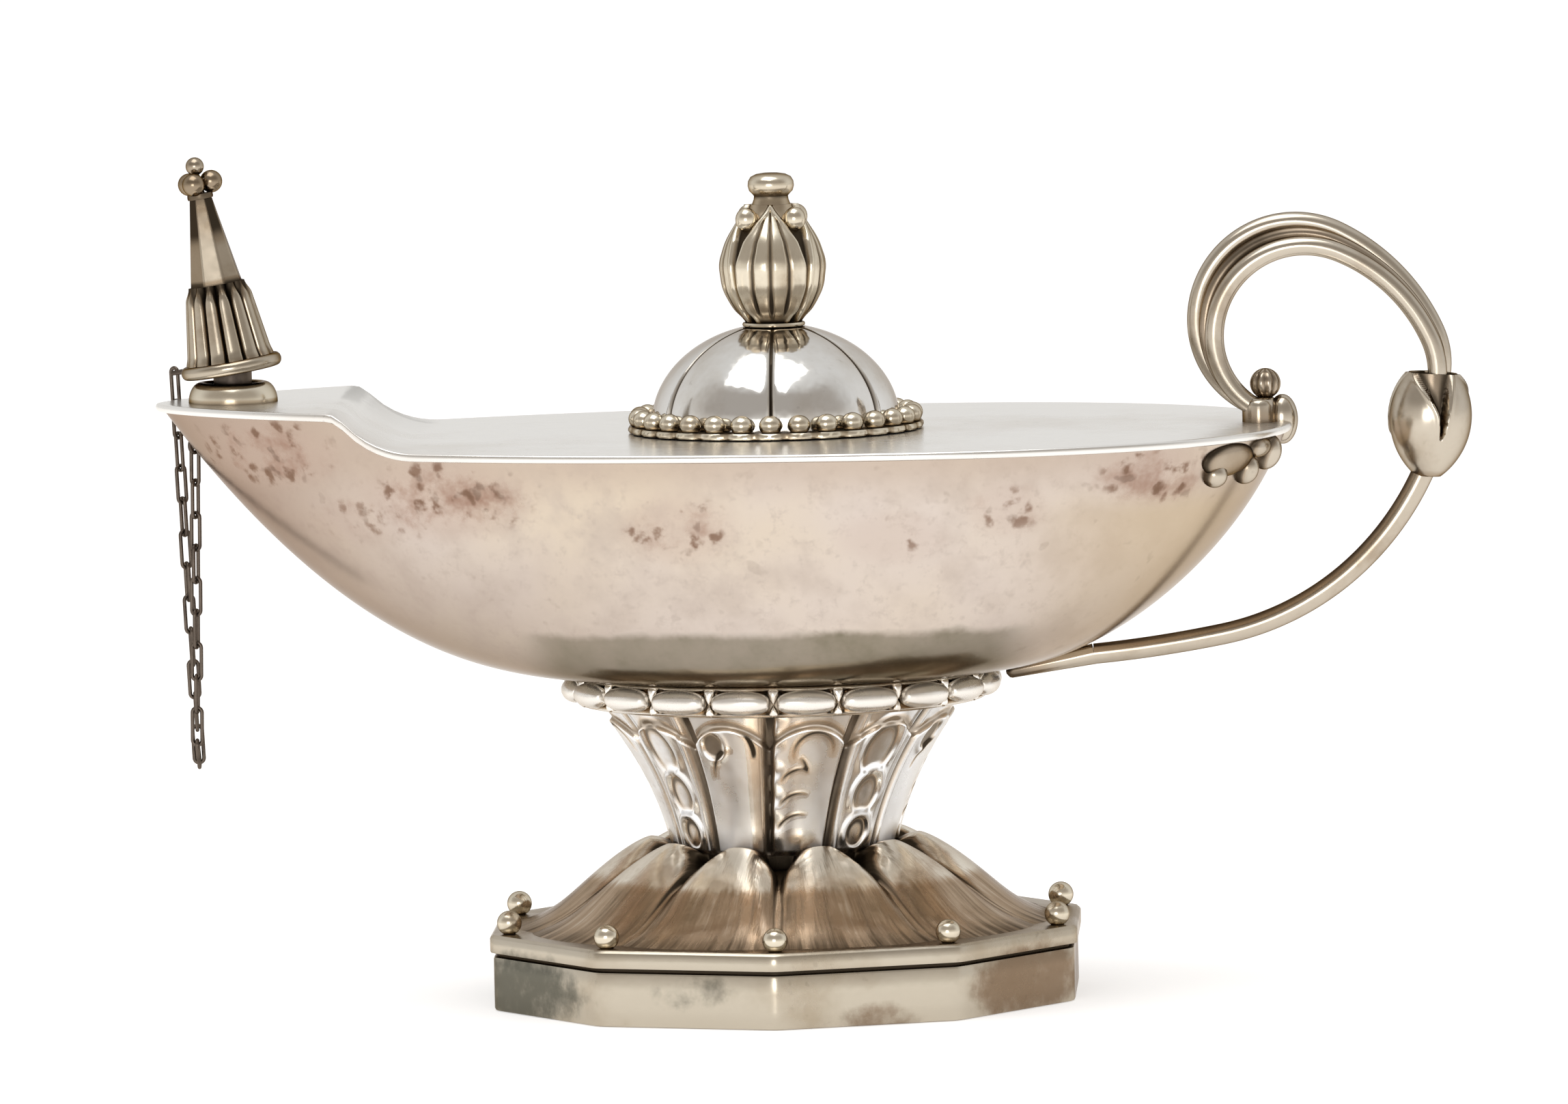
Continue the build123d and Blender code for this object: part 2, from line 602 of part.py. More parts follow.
tip_z = skirt_top + SPIRE_HEIGHT
tip_bead_z = tip_z + TIP_NECK + TIP_BEAD_RADIUS - TIP_BEAD_SUNK
tip_ball_z = tip_bead_z + TIP_BALL_RISE
core_end = math.sqrt(TIP_BALL_RADIUS**2 - TIP_CORE_RADIUS**2)
tip = turned(
    [
        Polyline(
            (0, tip_ball_z + TIP_BALL_RADIUS),
            (0, tip_z),
            (TIP_NECK_RADIUS, tip_z),
            (TIP_NECK_RADIUS, tip_z + TIP_NECK),
            (TIP_CORE_RADIUS, tip_z + TIP_NECK),
            (TIP_CORE_RADIUS, tip_ball_z - core_end),
        ),
        ThreePointArc(
            (TIP_CORE_RADIUS, tip_ball_z - core_end),
            (TIP_BALL_RADIUS, tip_ball_z),
            (0, tip_ball_z + TIP_BALL_RADIUS),
        ),
    ]
)
tip_parts = [tip]
for k in range(TIP_BEADS):
    x, y, z = polar(TIP_BEAD_RING, TIP_BEAD_TURN + 360 * k / TIP_BEADS, tip_z + TIP_NECK)
    tip_parts.append(ball_on_plane(TIP_BEAD_RADIUS, TIP_BEAD_SUNK, x, y, z))
save("snuffer_beads", snuffer_place * Compound(tip_parts))


def wire_loop(length, width, wire):
    """Long wire link round the origin, its length along Y."""
    bend = (width - wire) / 2
    half = (length - width) / 2
    path = Wire(
        [
            Line((bend, -half), (bend, half)),
            CenterArc((0, half), bend, 0, 180),
            Line((-bend, half), (-bend, -half)),
            CenterArc((0, -half), bend, 180, 180),
        ]
    )
    return wire_along(path, wire)


# Chain eye on the snuffer's flange
eye_length = EYE_REACH + EYE_WIDTH
eye_middle = FLANGE_RADIUS + EYE_REACH - eye_length / 2
eye_turn = Location((0, 0, FLANGE_HEIGHT / 2), (0, 0, EYE_ANGLE - 90))
eye = eye_turn * Pos(0, eye_middle, 0) * wire_loop(eye_length, EYE_WIDTH, EYE_WIRE)
eye -= disc(FLANGE_RADIUS, -FLANGE_HEIGHT, 2 * FLANGE_HEIGHT)
save("snuffer_eye", snuffer_place * eye)

# Chain: the bend of each link is centred on the bar that it hangs on
eye_bar = snuffer_place * Pos(*polar(FLANGE_RADIUS + EYE_REACH - EYE_WIRE / 2, EYE_ANGLE, FLANGE_HEIGHT / 2))
link = wire_loop(LINK_LENGTH, LINK_WIDTH, CHAIN_WIRE)
link_bend = (LINK_WIDTH - CHAIN_WIRE) / 2
link_run = LINK_LENGTH - LINK_WIDTH
link_pitch = link_run + link_bend


def strand_heading(drift, count, upward):
    """Direction of a strand of count links that leans by drift from end to end."""
    return Vector(drift[0], drift[1], upward * link_pitch * count).normalized()


def place_link(start, along, number):
    """Link from one bend centre along a heading; each is twisted from the last."""
    side = Vector(*polar(1, EYE_ANGLE - 90 + LINK_TWIST * number))
    across = along.cross(side).normalized()
    seat = Plane(origin=start + along * (link_run / 2), x_dir=across, z_dir=across.cross(along))
    return seat.location * link


down = strand_heading(CAP_STRAND_DRIFT, CAP_STRAND_LINKS, -1)
up = strand_heading(SPOUT_STRAND_DRIFT, SPOUT_STRAND_LINKS, 1)
tilt = math.radians(TURN_TILT)
turn_heading = EYE_ANGLE + 180 + (LINK_TWIST - 90) * CAP_STRAND_LINKS
turn = Vector(*polar(math.cos(tilt), turn_heading, math.sin(tilt)))
spot = eye_bar.position
cap_strand = []
for k in range(CAP_STRAND_LINKS):
    cap_strand.append(place_link(spot, down, k))
    spot += down * link_pitch
save("chain_cap_strand", Compound(cap_strand))

spout_strand = [place_link(spot, turn, CAP_STRAND_LINKS)]
spot += turn * link_run
for k in range(SPOUT_STRAND_LINKS):
    spot += up * link_bend
    spout_strand.append(place_link(spot, up, CAP_STRAND_LINKS + 1 + k))
    spot += up * link_run
save("chain_spout_strand", Compound(spout_strand))

staple_ring = revolve(Plane.XZ * (Pos(SPOUT_EYE_RADIUS, 0) * Circle(SPOUT_EYE_WIRE / 2)), Axis.Z)
staple_centre = spot + Vector(0, 0, SPOUT_EYE_RADIUS)
staple_turn = EYE_ANGLE - 90 + LINK_TWIST * (CAP_STRAND_LINKS + 1 + SPOUT_STRAND_LINKS)
staple = Pos(*staple_centre) * Rot(0, 0, staple_turn) * Rot(0, 90, 0) * staple_ring
post_z = staple_centre.Z + SPOUT_EYE_RADIUS
post = Pos(staple_centre.X, staple_centre.Y, post_z) * extrude(Circle(SPOUT_EYE_WIRE / 2), SPOUT_Z - post_z)
save("spout_eye", staple + post - bowl_seat - deck_seat)

# Handle
wire_y = (HANDLE_WIRE + HANDLE_WIRE_GAP) / 2
socket_top_z = DECK_Z + SOCKET_HEIGHT
wire_foot = (SOCKET_X, DECK_Z + SOCKET_HEIGHT / 2)
pod_place = Location((POD_X, 0, POD_FOOT_Z), (0, POD_LEAN, 0))
pod_floor_z = POD_HEIGHT - POD_BORE_DEPTH
bore_end = (pod_place * Pos(0, 0, pod_floor_z)).position
wire_end = (bore_end.X, bore_end.Z)
socket_plan = Ellipse(SOCKET_HALF_LENGTH, SOCKET_HALF_WIDTH)
socket = Pos(SOCKET_X, 0, DECK_Z) * extrude(socket_plan, SOCKET_HEIGHT)
socket = fillet(socket.faces().sort_by(Axis.Z)[-1].edges(), SOCKET_HEIGHT * 0.3)
save("stern_socket", socket)


def aft(point, level=DECK_Z):
    """Point given aft of the stern and over a level."""
    return (STERN_X + point[0], level + point[1])


def loop_wire(left, top, right, y):
    """One wire of the loop, from the stern socket up, over and down into the pod."""
    rise = TangentArc(left, wire_foot, tangent=(0, -1))
    over = TangentArc(left, top, tangent=(0, 1))
    down = TangentArc(over @ 1, right, tangent=over % 1)
    into = TangentArc(down @ 1, wire_end, tangent=down % 1)
    wire = wire_along(in_side_plane([over, down, into], y), HANDLE_WIRE)
    foot = wire_along(in_side_plane([rise], y), HANDLE_WIRE)
    return wire + foot - socket


near_wire = loop_wire(aft(NEAR_LEFT), aft(NEAR_TOP), aft(NEAR_RIGHT), -wire_y)
far_wire = loop_wire(aft(FAR_LEFT), aft(FAR_TOP), aft(FAR_RIGHT), wire_y)
pod_floor = pod_place * Pos(0, 0, pod_floor_z - POD_HEIGHT / 2) * Box(POD_HEIGHT, POD_HEIGHT, POD_HEIGHT)
near_wire -= pod_floor
far_wire -= pod_floor
save("handle_wire_near", near_wire)
save("handle_wire_far", far_wire)

pod = turned(
    [
        Line((0, 0), (POD_FOOT_RADIUS, 0)),
        ThreePointArc((POD_FOOT_RADIUS, 0), (POD_RADIUS, POD_HEIGHT / 2), (POD_MOUTH_RADIUS, POD_HEIGHT)),
        Line((POD_MOUTH_RADIUS, POD_HEIGHT), (0, POD_HEIGHT)),
        Line((0, POD_HEIGHT), (0, 0)),
    ]
)
slit = Polyline(
    (-POD_SLIT_WIDTH / 2, POD_HEIGHT),
    (POD_SLIT_WIDTH / 2, POD_HEIGHT),
    (0, POD_HEIGHT - POD_SLIT_DEPTH),
    close=True,
)
slit_cut = Pos(0, -POD_BORE_RADIUS, 0) * extrude(Plane.XZ * make_face(slit), POD_RADIUS)
for angle in POD_SLITS:
    pod -= Rot(0, 0, angle + 90) * slit_cut
pod -= disc(POD_BORE_RADIUS, pod_floor_z, POD_HEIGHT + POD_BORE_DEPTH)
handle_bud = pod_place * pod
save("handle_bud", handle_bud)

lower_start = (POD_X - POD_FOOT_RADIUS / 2, POD_FOOT_Z)
heading = (math.cos(math.radians(LOWER_START_ANGLE)), math.sin(math.radians(LOWER_START_ANGLE)))
lower_edges = []
for point in LOWER_POINTS:
    arc = TangentArc(lower_start, aft(point, BOWL_Z), tangent=heading)
    lower_edges.append(arc)
    lower_start = arc @ 1
    heading = arc % 1
lower_wire = wire_along(in_side_plane(lower_edges), LOWER_WIRE) - handle_bud - bowl_seat
save("handle_lower_wire", lower_wire)

tail_root = Vector(lower_start.X, 0, lower_start.Y)
tail_tip = Vector(RING_RADIUS + TAIL_TIP_REACH, 0, BOWL_Z - TAIL_TIP_DROP)
tail_run = tail_tip - tail_root
tail_axis = Plane(origin=(tail_root + tail_tip) * 0.5, z_dir=tail_run)
tail = tail_axis.location * Cone(TAIL_RADIUS, TAIL_TIP_RADIUS, tail_run.length)
tail += Plane(origin=tail_root, z_dir=tail_run).location * Sphere(TAIL_RADIUS)
tail += Plane(origin=tail_tip, z_dir=tail_run).location * Sphere(TAIL_TIP_RADIUS)
save("handle_tail", tail - lower_wire - bowl_seat - stem_ring)

# Stern ornament
knob = Pos(SOCKET_X + KNOB_OFFSET, 0, socket_top_z + KNOB_RISE) * Sphere(KNOB_RADIUS)
save("stern_knob", knob - socket - near_wire - far_wire)
drop_place = Location((STERN_X - DROP_INSET, 0, DECK_Z + DROP_RISE), (0, 90, 0))
drop = drop_place * spindle(DROP_HALF_LENGTH, DROP_RADIUS)
save("stern_drop", drop - bowl_seat - deck_seat - socket)


def scroll(side):
    """Row of lobes lying on one side of the hull, joined by a stem; side is -1 near, 1 far."""
    spots = []
    for point_x, point_z, radius in SCROLL_LOBES:
        x, z = aft((point_x, point_z))
        spots.append((Vector(x, side * stern_half_width(x, z), z), radius))
    leaf = Part()
    for centre, radius in spots:
        leaf += Pos(*centre) * Sphere(radius)
    for (start, _), (end, _) in zip(spots, spots[1:]):
        run = end - start
        middle = Plane(origin=(start + end) * 0.5, z_dir=run)
        leaf += middle.location * Cylinder(SCROLL_STEM, run.length)
    return leaf - bowl_seat - deck_seat


save("stern_scroll_near", scroll(-1))
save("stern_scroll_far", scroll(1))
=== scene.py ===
"""Looks of the silver oil lamp with its lid, loop handle, and snuffer on a chain."""

import json
import math

import bmesh
import bpy
import numpy as np
from mathutils import Matrix, Vector

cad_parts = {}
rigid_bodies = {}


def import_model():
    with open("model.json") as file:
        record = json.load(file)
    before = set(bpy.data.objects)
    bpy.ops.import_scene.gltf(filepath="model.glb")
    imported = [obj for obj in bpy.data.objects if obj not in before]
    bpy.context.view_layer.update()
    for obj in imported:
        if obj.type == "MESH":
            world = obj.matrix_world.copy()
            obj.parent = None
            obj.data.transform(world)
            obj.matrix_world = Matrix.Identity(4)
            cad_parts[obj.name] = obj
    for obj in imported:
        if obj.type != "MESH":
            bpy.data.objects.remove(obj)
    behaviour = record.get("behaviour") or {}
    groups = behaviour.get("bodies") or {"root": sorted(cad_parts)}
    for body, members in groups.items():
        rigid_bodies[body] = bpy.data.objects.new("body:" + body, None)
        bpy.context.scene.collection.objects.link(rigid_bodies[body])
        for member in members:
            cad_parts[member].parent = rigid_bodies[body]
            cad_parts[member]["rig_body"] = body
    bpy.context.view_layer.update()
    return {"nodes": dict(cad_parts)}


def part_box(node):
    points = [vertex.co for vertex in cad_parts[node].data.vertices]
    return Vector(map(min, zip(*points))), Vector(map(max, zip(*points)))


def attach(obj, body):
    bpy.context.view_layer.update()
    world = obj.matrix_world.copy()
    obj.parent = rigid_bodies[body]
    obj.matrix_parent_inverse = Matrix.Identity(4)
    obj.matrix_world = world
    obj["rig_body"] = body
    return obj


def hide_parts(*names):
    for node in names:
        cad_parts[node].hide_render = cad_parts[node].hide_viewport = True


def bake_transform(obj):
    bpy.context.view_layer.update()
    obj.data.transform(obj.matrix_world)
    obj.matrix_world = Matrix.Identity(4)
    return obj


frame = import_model()
MM = 0.001
ACROSS, UP = np.array([0, 1.0, 0]), np.array([0, 0, 1.0])


# Levels and places in millimetres, from the frame

def corners(node):
    """Lowest and highest corner of a node, in millimetres to the hundredth."""
    return np.round(np.array(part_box(node)) / MM, 2)


BAND_CORNER, BAND_TOP = corners("foot_band")[1, 1:]
PLATE_CORNER, DOME_Z = corners("foot_plate")[1, 1:]
DOME_HEIGHT = corners("foot_dome")[1, 2] - DOME_Z
STEM_Z, RING_Z = corners("stem")[:, 2]
STEM_HEIGHT = RING_Z - STEM_Z
BOWL_Z = corners("stem_ring")[1, 2]
DECK_Z = corners("stern_socket")[0, 2]
BOWL_DEPTH = DECK_Z - BOWL_Z
SPOUT_Z = corners("deck")[1, 2]
LID_Z, LID_DOME_Z = corners("lid_rim")[:, 2]
WASHER_Z, BUD_Z = corners("finial_washer")[:, 2]
BUD_TOP_Z = corners("finial_bud")[1, 2]
WICK_X = round(corners("wick_collar")[:, 0].mean(), 1)


# Numpy surfaces

def around(radius, angle, z):
    """Points at a radius and an angle about the upright axis: (r cos a, r sin a, z)."""
    radius, angle, z = np.broadcast_arrays(radius, angle, z)
    return np.stack([radius * np.cos(angle), radius * np.sin(angle), z], -1)


def circle(count, start=0.0):
    """Even angles once round, without the closing one."""
    return start + np.arange(count) * 2 * np.pi / count


def parted(count, steps, start):
    """Angles once round from start degrees, and where each lies in its one of count equal parts, 0 to 1."""
    angle = circle(count * steps, math.radians(start))
    return angle, ((np.degrees(angle) - start) * count / 360) % 1.0


def smooth(edge0, edge1, x):
    """Smooth step from 0 at edge0 to 1 at edge1: t t (3 - 2 t)."""
    t = np.clip((x - edge0) / (edge1 - edge0), 0, 1)
    return t * t * (3 - 2 * t)


def bell(distance, width):
    """Bell curve exp(-(d / w)^2)."""
    return np.exp(-((distance / width) ** 2))


def wrapped(angle):
    """Angle brought between minus half a turn and half a turn."""
    return (angle + np.pi) % (2 * np.pi) - np.pi


def turned(section, count, base=0.0):
    """Grid and marks of a section of (radius, z, mark) points carried round the upright axis."""
    radius, z, marks = np.array(section, float).T[:, :, None]
    return around(radius, circle(count), base + z), marks


def lined(grid, marks, angle, rings, mark):
    """Grid and marks with plain rings of (radius, z) added for the inner side, all with one mark."""
    radius, z = np.array(rings, float).T[:, :, None]
    inner = around(radius, angle, z)
    return np.concatenate([grid, inner]), np.concatenate([marks, np.full(inner.shape[:2], mark)])


def ball(centre, radii, rows=14, cols=22):
    """Ellipsoid c + (rx sin u cos v, ry sin u sin v, rz cos u)."""
    u = np.linspace(0, np.pi, rows)[:, None]
    return np.asarray(centre) + around(np.sin(u), circle(cols), np.cos(u)) * np.asarray(radii)


def round_wire(path, first, second, radius, sides=10):
    """Round section carried along a path, spanned by two directions: p + r (cos a first + sin a second)."""
    first, second = (np.broadcast_to(way, path.shape)[:, None] for way in (first, second))
    angle = circle(sides)[None, :, None]
    radius = np.broadcast_to(radius, len(path))[:, None, None]
    return path[:, None] + radius * (np.cos(angle) * first + np.sin(angle) * second)


def tube(path, radius, sides):
    """Wire along a path in a plane of X and Z, its section spanned by Y and the square to the path."""
    along = np.gradient(path, axis=0)
    along /= np.linalg.norm(along, axis=1, keepdims=True)
    return round_wire(path, ACROSS, np.cross(along, ACROSS), radius, sides)


def ended(rows):
    """Rows with the first and the last one doubled, as the marks of a capped grid."""
    return np.concatenate([rows[:1], rows, rows[-1:]])


def capped(grid):
    """Grid with its doubled first and last rows drawn together into poles, so that the ends are closed."""
    grid = ended(grid)
    grid[[0, -1]] = grid[[0, -1]].mean(1, keepdims=True)
    return grid


def soft_polygon(angle, apothem, sides, crisp=170.0):
    """Radius of a regular outline with soft corners: apothem over the p-norm of its facets' cosines."""
    share = np.maximum(np.cos(angle[..., None] - circle(sides)), 0)
    return apothem / (share**crisp).sum(-1) ** (1 / crisp)


def circle_through(first, second, third):
    """Centre and radius of the circle through three points, where the middle lines of two chords meet."""
    first, others = np.array(first), np.array([second, third])
    centre = np.linalg.solve(others - first, ((others**2).sum(1) - (first**2).sum()) / 2)
    return centre, np.linalg.norm(centre - first)


def tangent_arc(start, heading, end, count):
    """Arc that leaves start along heading and ends at end, as complex points, and its last heading.

    The chord to a point is the heading turned by half of the arc so far."""
    chord = complex(*end) - complex(*start)
    turn = np.angle(chord / complex(*heading))
    share = np.linspace(0, 1, count)
    scale = np.sin(share * turn) / np.sin(turn) if abs(turn) > 1e-6 else share
    unit = complex(*heading) / abs(complex(*heading))
    points = complex(*start) + abs(chord) * scale * unit * np.exp(1j * share * turn)
    final = unit * np.exp(2j * turn)
    return points, (final.real, final.imag)


def in_side_plane(points, y=0.0):
    """Complex points x + i z laid in the upright plane at depth y."""
    return np.stack([points.real, np.full(len(points), y), points.imag], -1)


def lean(points, place, degrees):
    """Points turned about Y by degrees and then moved to place."""
    c, s = math.cos(math.radians(degrees)), math.sin(math.radians(degrees))
    return points @ np.array([[c, 0, -s], [0, 1, 0], [s, 0, c]]) + np.asarray(place)


def swung(points, angle):
    """Points turned about the upright axis by an angle."""
    c, s = math.cos(angle), math.sin(angle)
    return points @ np.array([[c, s, 0], [-s, c, 0], [0, 0, 1]])


def quads(rows, cols, wrap_rows=False):
    """Corner numbers of the faces of a grid whose columns close, and whose rows close too if they wrap."""
    r, c = np.meshgrid(np.arange(rows - (not wrap_rows)), np.arange(cols), indexing="ij")
    r2, c2 = (r + 1) % rows, (c + 1) % cols
    return np.stack([r * cols + c, r2 * cols + c, r2 * cols + c2, r * cols + c2], -1).reshape(-1, 4)


def build(name, surfaces, material, crease=38.0):
    """Object made of surfaces (grid, marks, rows closed), joined where they meet themselves.

    A point's mark is its depth in the ornament and, in places, painted shade: 1 lies deep and is dark, and
    below 0 it is rubbed bare."""
    points, faces, recess_and_shade, base = [], [], [], 0
    for grid, marks, wrap_rows in surfaces:
        rows, cols = grid.shape[:2]
        faces.append(quads(rows, cols, wrap_rows) + base)
        points.append(grid.reshape(-1, 3) * MM)
        recess_and_shade.append(np.broadcast_to(marks, (rows, cols)).reshape(-1))
        base += rows * cols
    mesh = bpy.data.meshes.new(name)
    mesh.from_pydata(np.concatenate(points), [], np.concatenate(faces))
    layer = mesh.attributes.new("recess_and_shade", "FLOAT", "POINT")
    layer.data.foreach_set("value", np.concatenate(recess_and_shade).astype(np.float32))
    shape = bmesh.new()
    shape.from_mesh(mesh)
    bmesh.ops.remove_doubles(shape, verts=shape.verts, dist=2e-6)
    bmesh.ops.recalc_face_normals(shape, faces=shape.faces)
    shape.to_mesh(mesh)
    shape.free()
    mesh.polygons.foreach_set("use_smooth", np.ones(len(mesh.polygons), bool))
    mesh.set_sharp_from_angle(angle=math.radians(crease))
    mesh.materials.append(material)
    piece = bpy.data.objects.new(name, mesh)
    bpy.context.scene.collection.objects.link(piece)
    SLOTS.get(material.name, "silver_trim")
    return piece


def dress(node, surfaces, material, crease=38.0):
    """Piece that stands for a node and moves with its body."""
    piece = build(node + "_form", surfaces, material, crease)
    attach(piece, frame["nodes"][node]["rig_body"])
    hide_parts(node)


# Finishes

def operator(kind, flipped=False):
    """Method that adds a Math node of a kind for a wire and a value, swapped if flipped."""
    def method(self, other):
        return self.maths(kind, other, self) if flipped else self.maths(kind, self, other)
    return method


class Wire:
    """A shader socket; arithmetic on it adds Math nodes, and node() adds any other node."""

    __add__, __radd__ = operator("ADD"), operator("ADD", True)
    __sub__, __rsub__ = operator("SUBTRACT"), operator("SUBTRACT", True)
    __mul__, __rmul__ = operator("MULTIPLY"), operator("MULTIPLY", True)
    __truediv__, __rtruediv__ = operator("DIVIDE"), operator("DIVIDE", True)
    __pow__, __rpow__ = operator("POWER"), operator("POWER", True)

    def __init__(self, tree, socket=None):
        self.tree, self.socket = tree, socket

    def node(self, kind, settings=None, sockets=None, out=0):
        made = self.tree.nodes.new(kind)
        for key, value in (settings or {}).items():
            setattr(made, key, value)
        for key, value in (sockets or {}).items():
            if isinstance(value, Wire):
                self.tree.links.new(value.socket, made.inputs[key])
            elif value is not None:
                made.inputs[key].default_value = value
        return Wire(self.tree, made.outputs[out] if made.outputs else None)

    def maths(self, operation, a, b):
        return self.node("ShaderNodeMath", {"operation": operation}, {0: a, 1: b})

    def span(self, low, high):
        """0 below low and 1 above high, smooth between."""
        return self.node("ShaderNodeMapRange", {"interpolation_type": "SMOOTHSTEP"},
                         {0: self, 1: low, 2: high})

    def axes(self):
        """X, Y and Z of a place, as three wires."""
        x = self.node("ShaderNodeSeparateXYZ", None, {0: self})
        return [Wire(self.tree, out) for out in x.socket.node.outputs]

    def noise(self, place, scale, detail, rough, out=0):
        return self.node("ShaderNodeTexNoise", None,
                         {"Vector": place, "Scale": scale, "Detail": detail, "Roughness": rough}, out)

    def mix(self, share, a, b):
        """Colour a towards colour b."""
        return self.node("ShaderNodeMix", {"data_type": "RGBA"}, {0: share, 6: a, 7: b}, 2)


def rgb(r, g, b):
    return (r, g, b, 1.0)


def new_tree(name):
    material = bpy.data.materials.new(name)
    material.use_nodes = True
    material.node_tree.nodes.clear()
    return material, Wire(material.node_tree)


DARK = rgb(0.05, 0.038, 0.026)
SOOT = rgb(0.03, 0.025, 0.02)
# Edge tints: painted shade on the reflection at a grazing look, the deep one for darker outlines
GRAZING_SHADE_TINT = rgb(0.60, 0.55, 0.50)
DEEP_GRAZING_SHADE = rgb(0.26, 0.21, 0.165)
# Spot tones, grey-green to the left and brown to the right: on the band partly stain and partly painted
# reflection
GREEN_SPOT, BROWN_SPOT = rgb(0.105, 0.105, 0.085), rgb(0.22, 0.15, 0.095)

# Stained places in millimetres: x, z, half length, half height, strength
BOWL_STAINS = ((-57.0, 64.5, 8.0, 4.0, 0.9), (-36.5, 59.6, 10.0, 4.5, 1.0), (-46.0, 57.0, 6.0, 3.0, 0.45),
               (-10.0, 56.5, 6.5, 4.0, 0.75), (14.0, 55.2, 6.0, 3.0, 0.5), (27.0, 58.0, 4.5, 3.0, 0.55),
               (43.5, 61.2, 6.5, 3.5, 0.8))
# On the band, partly stains and partly painted reflection: the dark facets turned to left and right
BAND_STAINS_AND_REFLECTION = ((-29.2, 3.0, 7.0, 4.6, 1.0), (-10.0, 4.2, 5.5, 2.6, 0.5), (12.0, 0.8, 5.0, 2.2, 0.75),
               (28.5, 3.2, 7.2, 4.4, 0.95))


def metal(w, colour, rough, bump, bump_depth, metallic=1.0, edge=GRAZING_SHADE_TINT):
    """Metallic surface into the output; its edge tint darkens the reflection at a grazing look, as painted
    shade along the outlines.
    """
    normal = w.node("ShaderNodeBump", None, {"Strength": 1.0, "Distance": bump_depth * MM, "Height": bump})
    shader = w.node("ShaderNodeBsdfPrincipled", None,
                    {"Base Color": colour, "Roughness": rough, "Metallic": metallic, "Specular Tint": edge,
                     "Normal": normal})
    w.node("ShaderNodeOutputMaterial", None, {"Surface": shader})


def stain_field(w, place, stains):
    """Soft spots at the stained places, the strongest one counting."""
    x, _, z = place.axes()
    field = None
    for at_x, at_z, long, high, strength in stains:
        away = ((x - at_x * MM) / (long * MM)) ** 2 + ((z - at_z * MM) / (high * MM)) ** 2
        near = (1 - away.span(0.1, 1.6)) * strength
        field = near if field is None else w.maths("MAXIMUM", field, near)
    return field


# edge tints the reflection at a grazing look: painted shade along the outlines
def old_silver(name, clean, shade, rough, cloud, wave, dark=DARK, streak=None, frost=0.0, stains=None,
               edge=GRAZING_SHADE_TINT):
    """Worn silver: clouds of tarnish, a brown and then dark deposit in the recesses and in the painted shade
    that the marks carry, bare rims.

    Cloud is the scale of the clouds and wave the depth of the hammered wave in millimetres. Streak draws
    brush lines round the axis and up it, frost turns the bare faces matt white, and stains names the
    places of grey-green and brown spots, grey-green to the left and brown to the right; on the band they
    stand partly for stains and partly for painted reflection on the side facets."""
    material, w = new_tree(name)
    place = w.node("ShaderNodeTexCoord", out="Object")
    recess_and_shade = w.node("ShaderNodeAttribute", {"attribute_name": "recess_and_shade"}, out="Fac")
    clouds = w.noise(place, cloud, 5.0, 0.6)
    fine = w.noise(place, 900.0, 2.0, 0.6)
    bare = ((clouds - 0.5) * 0.4 - recess_and_shade).span(0.05, 0.35)
    patch = clouds.span(0.46, 0.74) * (1 - bare * 0.8)
    tone = w.mix(patch * 0.75, clean, shade)
    height = w.noise(place, 160.0, 3.0, 0.5)
    worn_and_shaded = recess_and_shade + (clouds - 0.5) * 0.3
    if streak is not None:
        x, y, z = place.axes()
        turn = w.maths("ARCTAN2", y, x) * 0.02
        brushed = w.node("ShaderNodeCombineXYZ", None, {0: turn * streak[0], 2: z * streak[1]})
        lines = w.noise(brushed, 1.0, 4.0, 0.65)
        worn_and_shaded = worn_and_shaded + (lines - 0.5) * 0.9 * (1 - bare)
        height = height + lines * 0.4
    if stains is not None:
        x, _, _ = place.axes()
        spot = w.mix(x.span(-0.012, 0.012), GREEN_SPOT, BROWN_SPOT)
        ragged = stain_field(w, place, stains) + (w.noise(place, 260.0, 5.0, 0.65) - 0.5) * 1.3
        ragged = ragged + (clouds - 0.5) * 0.6
        tone = w.mix(ragged.span(0.25, 0.95) * 0.9, tone, spot)
    speck = fine.span(0.62, 0.74) * clouds.span(0.45, 0.7)
    deep = worn_and_shaded.span(0.42, 0.95)
    for share, colour in ((speck * 0.2, dark), (worn_and_shaded.span(0.08, 0.5) * 0.85, shade), (deep, dark)):
        tone = w.mix(share, tone, colour)
    roughness = rough + patch * 0.1 + deep * 0.25 + (fine - 0.5) * 0.08 + bare * frost * 0.55
    metal(w, tone, roughness, height, wave, 1 - bare * frost if frost else 1.0, edge)
    return material


